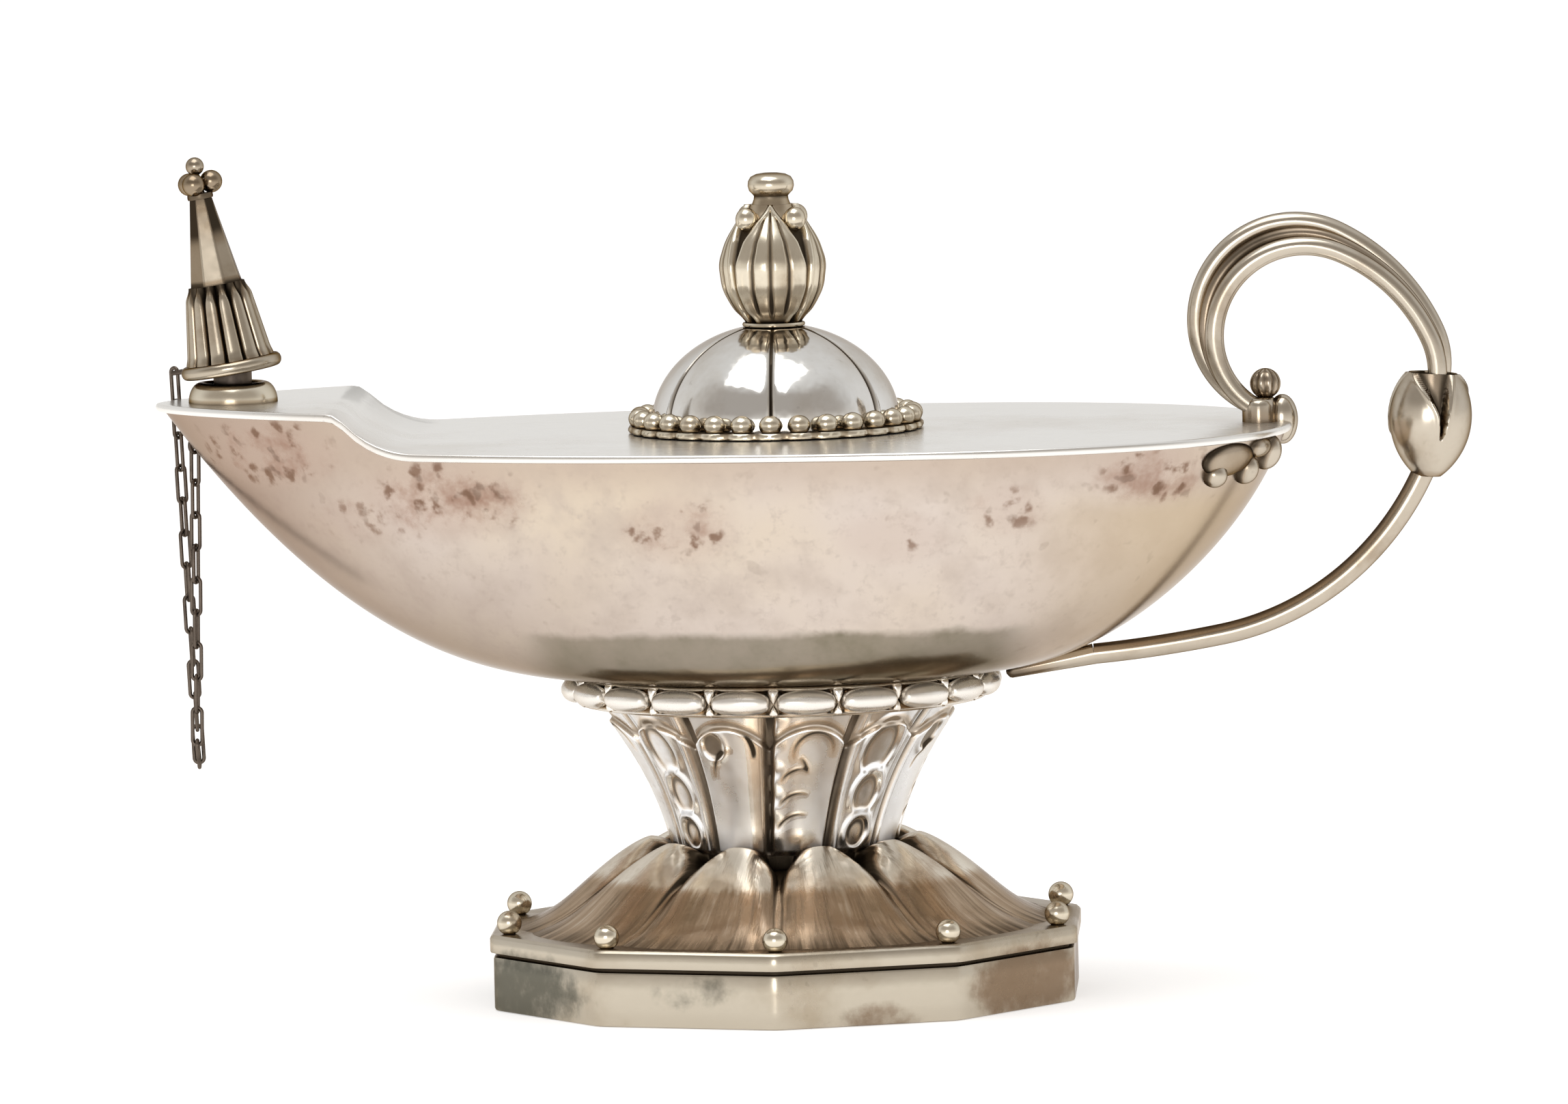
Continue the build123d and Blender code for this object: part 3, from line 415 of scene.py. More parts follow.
def bowl_silver():
    """Satin bowl: warm pale silver, brown and violet stains with pits, golden at the stern; painted shade
    towards the bow and below the rim, and a painted reflection of the foot as a dark band above the ring.
    """
    material, w = new_tree("bowl_satin_silver")
    place = w.node("ShaderNodeTexCoord", out="Object")
    x, _, z = place.axes()
    cloud = w.noise(place, 55.0, 5.0, 0.6)
    warm = w.noise(place, 30.0, 3.0, 0.5)
    blot = w.noise(place, 190.0, 4.0, 0.65)
    pits = w.noise(place, 420.0, 2.0, 0.5)
    mottle = w.noise(place, 130.0, 4.0, 0.6)
    grain = w.noise(place, 700.0, 3.0, 0.7)
    wobble = w.noise(place, 420.0, 3.0, 0.5, 1)
    shifted = w.node("ShaderNodeVectorMath", {"operation": "MULTIPLY_ADD"},
                     {0: wobble, 1: (0.003, 0.003, 0.003), 2: place})
    cells = w.node("ShaderNodeTexVoronoi", None, {"Vector": shifted, "Scale": 430.0})
    field = stain_field(w, place, BOWL_STAINS)
    gold = x.span(0.022, 0.046) * (1 - z.span(0.056, 0.062))
    # Painted shade: darker towards the bow and low down, darkest at the bow's end, and a little darker below
    # the rim
    low_bow_shade = (1 - x.span(-0.052, 0.005)) * (1 - z.span(0.040, 0.060))
    bow_end_shade = 1 - x.span(-0.068, -0.034)
    rim_shade = z.span(0.0585, 0.0640) * (1 - x.span(0.046, 0.054))
    stain = (blot * 0.45 + mottle * 0.3 + cloud * 0.25 + field * 0.12).span(0.56, 0.72) * (0.12 + field)
    pit = (pits + field * 0.08).span(0.64, 0.72) * blot.span(0.44, 0.6) * (0.25 + field * 0.75)
    spots = (1 - cells.span(0.20, 0.46)) * blot.span(0.44, 0.56) * field.span(0.12, 0.6)
    # Painted reflection of the shaded foot: a dark olive band with a ragged top just above the ring
    ragged = z + (cloud - 0.5) * 0.0022 + (mottle - 0.5) * 0.0024
    band = (1 - ragged.span(0.0434, 0.0446)) * x.span(-0.030, -0.023) * (1 - x.span(0.024, 0.031))
    tone = w.mix(warm.span(0.35, 0.65), rgb(0.59, 0.515, 0.46), rgb(0.61, 0.52, 0.415))
    for share, colour in ((cloud.span(0.50, 0.74) * 0.55, rgb(0.49, 0.41, 0.365)),
                          (mottle.span(0.42, 0.70) * 0.6, rgb(0.46, 0.385, 0.33)),
                          (grain.span(0.5, 0.75) * 0.35, rgb(0.40, 0.33, 0.285)),
                          (gold * 0.75, rgb(0.50, 0.395, 0.27)),
                          (low_bow_shade * 0.9, rgb(0.36, 0.29, 0.24)),
                          (bow_end_shade * 0.9, rgb(0.29, 0.20, 0.16)),
                          (rim_shade * 0.6, rgb(0.45, 0.355, 0.285)),
                          (field * 0.45, rgb(0.45, 0.335, 0.275)),
                          (stain * 0.75, rgb(0.30, 0.175, 0.125)),
                          (pit * 0.6, rgb(0.16, 0.105, 0.075)),
                          (spots * 0.85, rgb(0.20, 0.118, 0.078)),
                          (band * (1.15 - mottle * 0.8), rgb(0.17, 0.148, 0.10))):
        tone = w.mix(share, tone, colour)
    rough = 0.14 + warm * 0.08 + z.span(0.042, 0.05) * 0.05 + stain * 0.2 + spots * 0.15
    height = cloud * 0.6 + blot * 0.25 + mottle * 0.3 - spots * 0.15
    metal(w, tone, rough, height, 0.06)
    return material


def cotton():
    """Charred cotton wick with a fine twist."""
    material, w = new_tree("wick_cotton_twist")
    place = w.node("ShaderNodeTexCoord", out="Object")
    _, _, z = place.axes()
    drawn = w.node("ShaderNodeMapping", None, {"Vector": place, "Scale": (4000, 4000, 900)})
    fibre = w.noise(drawn, 1.0, 2.0, 0.6)
    tone = w.mix(fibre, rgb(0.62, 0.55, 0.44), rgb(0.78, 0.72, 0.62))
    tone = w.mix(z.span(0.0705, 0.0735), tone, SOOT)
    normal = w.node("ShaderNodeBump", None, {"Strength": 0.8, "Distance": 0.1 * MM, "Height": fibre})
    shader = w.node("ShaderNodeBsdfPrincipled", None,
                    {"Base Color": tone, "Roughness": 0.9, "Normal": normal})
    w.node("ShaderNodeOutputMaterial", None, {"Surface": shader})
    return material


# Each silver's clean tone, shade, roughness, cloud scale and wave depth, then what is its own
BOWL = bowl_silver()
DECK = old_silver("deck_satin_silver", rgb(0.82, 0.80, 0.765), rgb(0.74, 0.70, 0.65), 0.24, 40.0, 0.03,
                  edge=rgb(0.92, 0.91, 0.89))
FOOT = old_silver("foot_worn_silver", rgb(0.53, 0.475, 0.385), rgb(0.36, 0.285, 0.195), 0.22, 55.0, 0.07,
                  stains=BAND_STAINS_AND_REFLECTION)
GADROON = old_silver("gadroon_worn_silver", rgb(0.90, 0.84, 0.73), rgb(0.40, 0.275, 0.17), 0.20, 110.0, 0.12,
                     streak=(1500, 130), frost=0.35)
RELIEF = old_silver("relief_silver", rgb(0.92, 0.92, 0.92), rgb(0.66, 0.55, 0.43), 0.22, 110.0, 0.05,
                    frost=0.6, edge=rgb(0.66, 0.62, 0.56))
RING = old_silver("ring_silver", rgb(0.88, 0.84, 0.78), rgb(0.50, 0.40, 0.29), 0.17, 130.0, 0.05,
                  frost=0.2, edge=rgb(0.64, 0.59, 0.53))
POLISHED = old_silver("lid_polished_silver", rgb(0.77, 0.755, 0.725), rgb(0.60, 0.55, 0.48), 0.10, 75.0, 0.25)
TRIM = old_silver("trim_silver", rgb(0.70, 0.63, 0.505), rgb(0.40, 0.315, 0.215), 0.20, 150.0, 0.04,
                  edge=DEEP_GRAZING_SHADE)
SNUFFER = old_silver("snuffer_silver", rgb(0.46, 0.40, 0.315), rgb(0.25, 0.185, 0.12), 0.20, 170.0, 0.05,
                     edge=DEEP_GRAZING_SHADE)
HANDLE = old_silver("handle_silver", rgb(0.53, 0.47, 0.385), rgb(0.34, 0.265, 0.19), 0.20, 110.0, 0.04,
                    edge=DEEP_GRAZING_SHADE)
OXIDE = old_silver("chain_oxidised_silver", rgb(0.13, 0.105, 0.085), rgb(0.06, 0.047, 0.04), 0.36, 300.0,
                   0.03, dark=SOOT)
INNER = old_silver("inner_silver", rgb(0.55, 0.50, 0.43), rgb(0.35, 0.29, 0.22), 0.38, 140.0, 0.03)
WICK = cotton()

# Slot names by finish, looked up in build() but given to no piece; the other silvers would share silver_trim
SLOTS = {"bowl_satin_silver": "silver_satin", "deck_satin_silver": "silver_deck",
         "foot_worn_silver": "silver_foot", "gadroon_worn_silver": "silver_foot",
         "lid_polished_silver": "silver_polished", "chain_oxidised_silver": "silver_oxidised"}


# Foot

FOOT_SIDES = 10
BAND_WALL, STANDING_RIM, RIM_THICK = 1.2, 4.6, 1.0
PLATE_Z = BAND_TOP + 0.4
LOBE_TOP, LOBE_SPREAD, LOBE_TOE, LOBE_DEPTH = 15.4, 12.6, 3.0, 3.4
DOME_SHOULDER, DOME_BORE, DOME_INSIDE = 12.4, 11.8, 28.8
CORNER_RING, CORNER_BALL = 32.8, 1.45

# Closed sections of the band and the plate: inset from the side, z, mark
BAND_SECTION = ((STANDING_RIM, 0, 0), (0.3, 0, 0.25), (0.1, 0.08, 0.1), (0, 0.3, 0), (0, 2.1, 0), (0, 4, 0),
                (0, BAND_TOP - 0.3, 0), (0.08, BAND_TOP - 0.1, 0.1), (0.3, BAND_TOP, 0.5),
                (BAND_WALL, BAND_TOP, 0.9), (BAND_WALL, RIM_THICK, 0.6), (STANDING_RIM, RIM_THICK, 0.4))
PLATE_SECTION = ((5.5, BAND_TOP, 0.8), (1, BAND_TOP, 1), (1, PLATE_Z, 1), (0.25, PLATE_Z, 0.7),
                 (0.06, PLATE_Z + 0.06, 0.2), (0, PLATE_Z + 0.25, 0), (0, DOME_Z - 0.45, 0),
                 (0.1, DOME_Z - 0.28, 0), (0.4, DOME_Z - 0.02, 0), (1.2, DOME_Z, 0.08), (3.5, DOME_Z, 0.25),
                 (5.8, DOME_Z, 0.6))


def polygon_band(section, corner):
    """Ten-sided band from a closed section, with soft corners; its points crowd towards them by a sine."""
    facet = np.sin(np.linspace(-1, 1, 26, endpoint=False) * np.pi / 2) * np.pi / FOOT_SIDES
    angle = (circle(FOOT_SIDES)[:, None] + facet).reshape(-1)
    apothem = corner * math.cos(math.pi / FOOT_SIDES)
    rows = [around(soft_polygon(angle, apothem - inset, FOOT_SIDES), angle, z) for inset, z, _ in section]
    return np.array(rows), np.array(section)[:, 2:]


def gadroon_dome():
    """Ten pillows: across a lobe the radius falls from crest to valley as a half oval, sqrt(1 - (x / c)^2.6).

    The crest flares out in a toe below and rounds over on top; each lobe closes in an arch towards the stem,
    c = lobe sqrt(1 - 0.7 t^3), and a thin rib stands in every gap lower down."""
    angle, p = parted(FOOT_SIDES, 64, 18)
    s = 0.5 - 0.5 * np.cos(np.linspace(0, np.pi, 80))[:, None]
    crest = LOBE_TOP + LOBE_SPREAD * (1 - s) ** 0.75 + LOBE_TOE * (1 - s) ** 8
    valley = crest - LOBE_DEPTH * (0.35 + 0.65 * s)
    lobe = math.pi / FOOT_SIDES * crest
    x = np.abs(p - 0.5) * 2 * lobe
    closing = np.clip((s - 0.6) / 0.4, 0, 1) ** 3
    gap = 0.25 + (lobe - 0.25) * (1 - np.sqrt(1 - 0.7 * closing))
    swell = np.sqrt(np.clip(1 - (x / (lobe - 0.75 * gap)) ** 2.6, 0, 1))
    off = lobe - x
    rib = bell(off, 0.33) * smooth(0.8, 0.5, s) * smooth(0.0, 0.12, s)
    radius = valley + (crest - valley) * swell + 0.75 * rib
    z = DOME_Z + DOME_HEIGHT * s * (1 - 0.3 * s**2 * (1 - swell))
    # Painted light on each lobe: painted shadow in the gaps, a lighter top where it rounds over, and brown
    # painted reflection down its lower face and toe
    shadow = smooth(0.95, 0.1, off - gap) * smooth(0.0, 0.12, s) * (0.9 + 0.1 * smooth(0.2, 0.6, s))
    top = smooth(0.5, 0.8, s) * smooth(0.3, 0.75, swell)
    face = 0.5 * smooth(0.72, 0.5, s) + 0.2 * smooth(0.16, 0.0, s) - 0.4 * top
    marks = np.maximum(face, shadow * (1 - 0.7 * rib))
    q = np.linspace(1, 0, 12)[1:, None]
    over_radius = DOME_SHOULDER + (radius[-1:] - DOME_SHOULDER) * q
    over_z = z[-1:] + (STEM_Z - z[-1:]) * (1 - q) ** 2
    grid = np.concatenate([around(radius, angle, z), around(over_radius, angle, over_z)])
    marks = np.concatenate([marks, np.maximum(smooth(0.8, 0.2, q), marks[-1:])])
    inside = ((DOME_BORE, STEM_Z), (DOME_BORE, 12.6), (DOME_INSIDE, DOME_Z + 0.05))
    return lined(grid, marks, angle, inside, 0.8)


def corner_balls():
    """Balls on the corners, each a little different in size, with painted shade where they sit."""
    marks = smooth(2.2, 2.9, np.linspace(0, np.pi, 18))[:, None]
    for k, angle in enumerate(circle(FOOT_SIDES, math.pi / FOOT_SIDES)):
        size = CORNER_BALL * (1 - 0.03 * (k * 0.37 % 1))
        yield ball(around(CORNER_RING, angle, DOME_Z + 1.25), size, 18, 26), marks, False


dress("foot_band", [(*polygon_band(BAND_SECTION, BAND_CORNER), True)], FOOT)
dress("foot_plate", [(*polygon_band(PLATE_SECTION, PLATE_CORNER), True)], FOOT)
dress("foot_dome", [(*gadroon_dome(), True)], GADROON, 50.0)
dress("corner_beads", corner_balls(), TRIM)


# Stem

PANELS, PANEL_HALF = 12, math.radians(15)
PANEL_WALL = (0.80, 0.97)
STEM_CENTRE, STEM_ARC = circle_through((13.0, 0.0), (16.0, STEM_HEIGHT / 2), (21.6, STEM_HEIGHT))

# Husks: centre u, centre v, half width, half height. Cuts: centre u, centre v, radius, from, to, width
HUSKS = ((-0.3, 12.3, 2.6, 3.7), (0.1, 6.9, 2.1, 2.9), (0.1, 2.4, 1.8, 2.2))
TONGUE_CUTS = ((1.2, 9.6, 3.2, 100, 190, 0.32), (0.2, 12.6, 2.9, -20, 80, 0.3))
LEAF_CUTS = ((0.5, 12.4, 2.3, -20, 215, 0.36), (-3.4, 9.1, 3.6, 8, 50, 0.3), (-0.6, 8.0, 2.3, 70, 165, 0.3),
             (-0.4, 5.0, 2.4, 65, 165, 0.3), (-0.2, 2.4, 2.5, 70, 165, 0.28))


def stem_flank(v):
    """Radius of the flared stem over its height share: the circle through foot, waist and top."""
    return STEM_CENTRE[0] - np.sqrt(STEM_ARC**2 - (v * STEM_HEIGHT - STEM_CENTRE[1]) ** 2)


def arc_cuts(u, v, cuts):
    """Cuts along circular arcs from one angle to another in degrees, thin at both ends."""
    total = 0
    for centre_u, centre_v, size, start, end, width in cuts:
        angle = np.degrees(np.arctan2(v - centre_v, u - centre_u))
        share = ((angle - start) % 360) / ((end - start) % 360)
        near = bell(np.hypot(u - centre_u, v - centre_v) - size, width)
        total = total + near * np.clip(4 * share * (1 - share), 0, 1) ** 0.5
    return np.clip(total, 0, 1)


def husk_panel(u, v, half):
    """Three arches, each open below over the next: a rim over a floor that dips; a rib at each side."""
    height, marks = np.zeros_like(u), np.full_like(u, 0.14)
    for centre_u, centre_v, wide, high in HUSKS:
        d = (np.hypot((u - centre_u) / wide, (v - centre_v) / high) - 1) * wide
        arch = smooth(-0.8, -0.1, (v - centre_v) / high)
        rim = bell(d, 0.34) * arch
        floor = smooth(-0.15, -0.6, d)
        height = height * (1 - floor) + 0.35 * rim - 0.3 * floor
        # Painted shade on each floor just under the top of its rim
        under = floor * bell(d + 0.75, 0.4) * arch
        marks = marks * (1 - floor) + floor * (0.16 + 0.12 * smooth(8, 2, v)) + 0.6 * under
        marks = marks * (1 - rim) - 0.25 * rim
    side = np.abs(u) / half
    border = bell((side - 0.76) * half, 0.3)
    height = (height - 0.25) * (1 - smooth(*PANEL_WALL, side)) + 0.35 * border
    return height, marks * (1 - border) - 0.2 * border


def tongue_panel(u, v, half):
    """Smooth tongue with a curled tip: an oval pocket with a rolled edge, and two cuts."""
    pocket = np.hypot((u + 1.7) / 1.6, (v - 13.2) / 1.9)
    roll = bell((pocket - 1) * 1.6, 0.34)
    floor = smooth(1.0, 0.6, pocket)
    cut = arc_cuts(u, v, TONGUE_CUTS)
    tan_side = smooth(0.42, 0.6, u / half)
    return 0.2 * roll - 0.3 * floor - 0.05 * cut, -0.17 + 0.5 * tan_side + 0.9 * floor + 1.1 * cut


def leaf_panel(u, v, half):
    """Leaf cut by commas, with notches along one side and a dark place low down."""
    cut = arc_cuts(u, v, LEAF_CUTS)
    notch = smooth(-0.45, -0.85, u / half) * (0.5 + 0.5 * np.sin(v * 2.0))
    boss = bell(np.hypot(u - 0.5, v - 12.2), 1.7)
    dark_patch = bell(u + 0.4, 1.3) * bell(v - 2.0, 0.75)
    marks = -0.17 + 1.1 * cut + 0.45 * notch + 0.8 * dark_patch + 0.4 * smooth(1.1, 0.5, v)
    return 0.1 * boss - 0.05 * cut - 0.25 * notch, marks


def framed(panel, u, v, half):
    """Height and marks of a panel, across u and up v in millimetres, with dark walls, crown and foot."""
    height, marks = panel(u, v, half)
    side = np.abs(u) / half
    height = height + 0.5 * (1 - side**2) - 1.0 * smooth(*PANEL_WALL, side)
    marks = marks + (0.8 - marks) * smooth(0.78, 0.93, side)
    crown = v - 14.7 + 2.6 * side**2
    height = height - 0.9 * smooth(0.2, 0.9, crown)
    marks = marks + (0.65 - marks) * smooth(0.1, 0.6, crown) * smooth(1.9, 1.2, crown)
    foot = smooth(0.6, 0.0, v)
    return height - 0.3 * foot, marks + (0.6 - marks) * foot


def leafy_stem():
    """Flared stem with twelve panels in relief, in the order husks, tongue, leaf, four times round."""
    v = np.linspace(0, 1, 120)[:, None]
    share = (np.arange(54) + 0.5) / 54 * 2 - 1
    radius = stem_flank(v)
    half = radius * PANEL_HALF
    grids, marks = [], []
    for number in range(PANELS):
        panel = (husk_panel, tongue_panel, leaf_panel)[number % 3]
        height, mark = framed(panel, share * half, v * STEM_HEIGHT + 0 * share, half)
        angle = math.radians(-139) + (2 * number + share) * PANEL_HALF + math.radians(4.0) * (v - 0.5)
        grids.append(around(radius - 0.5 + height * 0.85, angle, STEM_Z + v * STEM_HEIGHT))
        marks.append(mark)
    outer = np.concatenate(grids, 1)
    angle = np.arctan2(outer[:1, :, 1], outer[:1, :, 0])
    down = np.linspace(1, 0, 8)
    inside = np.stack([stem_flank(down) - 1.9, STEM_Z + down * STEM_HEIGHT], -1)
    return lined(outer, np.concatenate(marks, 1), angle, inside, 0.8)


dress("stem", [(*leafy_stem(), True)], RELIEF, 60.0)

# Closed section of the ring: radius, height over its foot, mark
RING_SECTION = ((17.5, 0, 0.5), (22.9, 0, 0.35), (23.35, 0.1, 0), (23.5, 0.35, 0), (23.2, 0.6, 0.45),
                (23, 1.1, 0.7), (23, 2.5, 0.7), (23.2, 2.95, 0.45), (23.7, 3.1, 0), (23.9, 3.3, -0.1),
                (23.7, 3.55, 0.45), (17.5, 3.6, 0.6))
RING_OVALS = 20


def ring_of_ovals():
    """Collar with twenty long ovals, full to their ends, and small leaves between them on a dark bed."""
    u, v = np.linspace(0, np.pi, 27)[:, None], circle(24)
    full = np.abs(np.sin(u)) ** 0.6
    sides = (3.3 * np.cos(u), 1.55 * full * np.sin(v), 1.4 * full * np.cos(v))
    oval = np.stack(np.broadcast_arrays(*sides), -1)
    oval_marks = 1.1 * smooth(-0.1, -0.8, oval[..., 1]) - 0.35
    leaf = ball((0, 0, 0), (0.95, 0.6, 1.05), 12, 14)
    leaf[..., 0] *= 0.2 + 0.8 * np.clip((leaf[..., 2] + 1.0) / 2.0, 0, 1)
    low_leaf = leaf * (0.8, 1, -0.7)
    parts = [(*turned(RING_SECTION, 200, RING_Z), True)]
    for gap in circle(RING_OVALS):
        middle = gap + math.pi / RING_OVALS
        for angle, grid, radius, rise, marks in ((middle, oval, 23.75, 1.75, oval_marks),
                                                 (gap, leaf, 23.45, 2.5, -0.1),
                                                 (gap, low_leaf, 23.3, 0.8, 0.1)):
            grid = swung(grid, angle - math.pi / 2) + around(radius, angle, RING_Z + rise)
            parts.append((grid, marks, False))
    return parts


dress("stem_ring", ring_of_ovals(), RING, 60.0)


# Bowl and deck

FLOOR_LENGTH, FLOOR_BEAM = 25.5, 23.5
BOW_REACH, STERN_REACH, BEAM_REACH = 41.8, 33.0, 12.5
MIDDLE_SHIFT, STERN_SWELL = 12.0, 14.0
STERN_FULL, BOW_SHARP = 0.09, 0.3
BOWL_WALL, WALL_SPREAD = 1.3, 1.35
DECK_THICK, DECK_OVERHANG, RIM_ROLL, FILLER_HOLE = 0.9, 0.4, 0.35, 12.0
STEP_X, STEP_RUN, STEP_ARC = -40.0, 8.8, 11.0
BEARINGS = circle(420)


def stern_length(t):
    """Length of the hull aft of its widest place, at rise t."""
    return FLOOR_LENGTH + STERN_REACH * t + STERN_SWELL * t**3 * (1 - t) - MIDDLE_SHIFT * t


def hull(t, bearing, grow=0.0):
    """Level outline of the hull at rise t: a half oval to the stern and a sharper one to the bow."""
    t, bearing = np.broadcast_arrays(t, bearing)
    along, across = np.cos(bearing), np.sin(bearing)
    bow = FLOOR_LENGTH + BOW_REACH * t + MIDDLE_SHIFT * t + grow
    aft = along > 0
    full = 1 - STERN_FULL * t
    reach = np.where(aft, (stern_length(t) + grow) * np.abs(along) ** full, bow * along)
    power = np.where(aft, full, 1 + BOW_SHARP * t)
    half_width = (FLOOR_BEAM + BEAM_REACH * t + grow) * np.abs(across) ** power
    return MIDDLE_SHIFT * t + reach, np.sign(across) * half_width


def deck_level(x):
    """Height of the deck: level, then a hollow arc up to the spout, softened by a mean over nine shifts."""
    total = 0
    for shift in np.linspace(-0.9, 0.9, 9):
        run = np.clip(x + shift - STEP_X, -STEP_RUN, 0)
        total = total + DECK_Z + STEP_ARC - np.sqrt(STEP_ARC**2 - run**2)
    return total / 9


def rim_rise(grow, drop, floor):
    """Rise at which the hull meets the deck lowered by drop, all round, found by fixed point."""
    t = np.ones_like(BEARINGS)
    for _ in range(60):
        x, _ = hull(t, BEARINGS, grow)
        t = 0.5 * t + 0.5 * np.sqrt((deck_level(x) - drop - BOWL_Z - floor) / (BOWL_DEPTH - floor))
    return t


def bowl_shell():
    """Outer and inner skins of the hull, z rising by t squared, joined at the rim and closed on the floor."""
    rows = np.linspace(0, 1, 72)[:, None]
    skins = []
    for grow, floor in ((0.0, 0.0), (-BOWL_WALL * WALL_SPREAD, BOWL_WALL)):
        t = rows * rim_rise(grow, DECK_THICK, floor)
        x, y = hull(t, BEARINGS, grow)
        grid = np.stack([x, y, BOWL_Z + floor + (BOWL_DEPTH - floor) * t**2], -1)
        centre = np.broadcast_to((0, 0, BOWL_Z + floor), grid[:1].shape)
        skins.append(np.concatenate([centre, grid]))
    return np.concatenate([skins[0], skins[1][::-1]])


def deck_plate():
    """Plate from the filler hole out to the hull's rim, with a rolled edge, and painted shade on the step."""
    edge_x, edge_y = hull(rim_rise(DECK_OVERHANG, 0.0, 0.0), BEARINGS, DECK_OVERHANG)
    reach = np.hypot(edge_x, edge_y)
    share = np.linspace(0, 1, 105)[:, None]
    size = FILLER_HOLE + (reach - RIM_ROLL - FILLER_HOLE) * share
    x, y = size * edge_x / reach, size * edge_y / reach
    top = np.stack([x, y, deck_level(x)], -1)
    roll = np.linspace(np.pi / 2, -np.pi / 2, 9)[1:-1, None]
    rim = reach - RIM_ROLL + 0.29 * np.cos(roll)
    x, y = rim * edge_x / reach, rim * edge_y / reach
    edge = np.stack([x, y, deck_level(x) + DECK_THICK / 2 * (np.sin(roll) - 1)], -1)
    grid = np.concatenate([top, edge, top[::-1] - DECK_THICK * UP])
    # Painted shade on the step rising towards the spout
    return grid, 0.3 * bell(grid[..., 0] + 45.5, 3.0) * (grid[..., 2] > DECK_Z)


dress("bowl", [(bowl_shell(), 0.0, False)], BOWL)
dress("deck", [(*deck_plate(), True)], DECK, 50.0)


# Lid and finial

LID_BEADS, BEAD_RING = 30, 15.65
LID_RADIUS, LID_RISE, LID_TOP_SHARE = 14.2, 11.4, 0.9674
BUD_HEIGHT = BUD_TOP_Z - BUD_Z

# Closed section of the lid's rim: radius, height over its foot, share of the milling, mark
RIM_SECTION = ((10.85, 0, 0, 0.5), (16.3, 0, 1, 0.5), (16.75, 0.06, 1, 0.3), (16.9, 0.25, 1, 0),
               (16.88, 0.55, 1, 0), (16.7, 0.75, 0.6, 0.25), (15, 0.75, 0, 0.5), (10.85, 0.75, 0, 0.6))

# Sections of the washer and the button: radius, height over its foot, mark
WASHER_SECTION = ((0.9, 0, 0.6), (3.3, 0, 0.6), (3.55, 0.12, 0.3), (3.6, 0.3, 0.1), (3.5, 0.5, 0.2),
                  (3.2, 0.6, 0.7), (0.9, 0.6, 0.8))
BUTTON_SECTION = ((0, 0, 0.6), (2.2, 0, 0.5), (2, 0.52, 0.5), (1.95, 0.92, 0.8), (2.15, 1.17, 0.7),
                  (2.5, 1.52, 0.4), (2.65, 2.07, 0.25), (2.6, 2.62, 0.2), (2.3, 3.12, 0.25),
                  (1.7, 3.42, 0.35), (0.9, 3.55, 0.45), (0, 3.57, 0.5))

# Stations of the bud: height share, radius; and of a petal: height share, half width in degrees
BUD_OUTLINE = ((0, 0.05, 0.12, 0.28, 0.5, 0.7, 0.86, 1.0), (2.9, 3.95, 4.71, 5.83, 6.2, 5.33, 3.97, 2.9))
PETAL_OUTLINE = ((0, 0.1, 0.3, 0.5, 0.7, 0.85, 0.96, 1), (37, 42, 43.6, 42.6, 37.5, 27, 10, 4))


def milled_rim():
    """Thin disc whose edge is milled: one shallow hollow between every two beads."""
    angle = circle(LID_BEADS * 10)
    scallop = 0.34 * np.abs(np.cos(LID_BEADS / 2 * angle)) ** 6
    radius, z, share, marks = np.array(RIM_SECTION).T[:, :, None]
    return around(radius - scallop * share, angle, LID_Z + z), np.clip(marks + (scallop > 0.1) * 0.45, 0, 1)


def lid_balls():
    """Beads on the rim, with painted shade on their lower halves, where they sit."""
    bead = ball((0, 0, 0), (1.2, 1.3, 1.15), 16, 20)
    marks = 0.12 + 0.88 * smooth(1.7, 2.6, np.linspace(0, np.pi, 16))[:, None]
    for angle in circle(LID_BEADS, math.pi / LID_BEADS):
        yield swung(bead, angle) + around(BEAD_RING, angle, LID_DOME_Z + 0.85), marks, False


def gored_dome():
    """Half ellipsoid in six gores, each swelling between thin grooves at 90 + 60 k degrees."""
    angle, p = parted(6, 70, 90)
    s = np.linspace(0, LID_TOP_SHARE, 60)[:, None]
    crest = LID_RADIUS * np.sqrt(1 - s**2)
    off = np.minimum(p, 1 - p) * math.radians(60) * crest
    swell = np.clip(4 * p * (1 - p), 0, 1) ** 0.8
    groove = bell(off, 0.32)
    radius = crest * (1 - 0.45 / LID_RADIUS * (1 - swell)) - 0.32 * groove
    marks = np.clip(groove * 1.1 + smooth(0.07, 0.0, s) * 0.4 + smooth(0.955, 0.967, s) * 0.4, 0, 1)
    inside = ((3.0, WASHER_Z - 0.03), (3.0, WASHER_Z - 1.18), (12.8, LID_DOME_Z + 0.01))
    return lined(around(radius, angle, LID_DOME_Z + LID_RISE * s), marks, angle, inside, 0.8)


def petal_bud():
    """Four broad petals that come to points, each with a raised rim and a fluted face, over a dark core.

    The radius is straight between the bud's stations, softened by a mean over nine shifts."""
    angle, p = parted(4, 100, 45)
    a = p * 90 - 45
    s = np.linspace(0, 1, 96)[:, None]
    radius = sum(np.interp(np.clip(s + k, 0, 1), *BUD_OUTLINE) for k in np.linspace(-0.06, 0.06, 9)) / 9
    half = np.interp(s, *PETAL_OUTLINE)
    off = (half - np.abs(a)) * np.pi / 180 * radius
    petal = smooth(-0.15, 0.2, off)
    rim = bell(off - 0.4, 0.28)
    face = smooth(0.45, 0.85, off)
    flute = face * np.clip(np.cos(4 * np.pi * a / np.maximum(half, 5)), 0, 1) ** 2 * smooth(0.02, 0.15, s)
    radius = radius - 0.6 * (1 - petal) + 0.1 * rim - 0.24 * flute
    marks = (0.95 - 0.5 * smooth(0.75, 0.95, s)) * (1 - petal) + 0.85 * flute - 0.3 * rim
    marks = marks + 0.5 * smooth(0.34, 0.05, s) * face + 0.4 * smooth(0.06, 0.0, s)
    return capped(around(radius, angle, BUD_Z + BUD_HEIGHT * s)), ended(np.clip(marks, -0.4, 1))


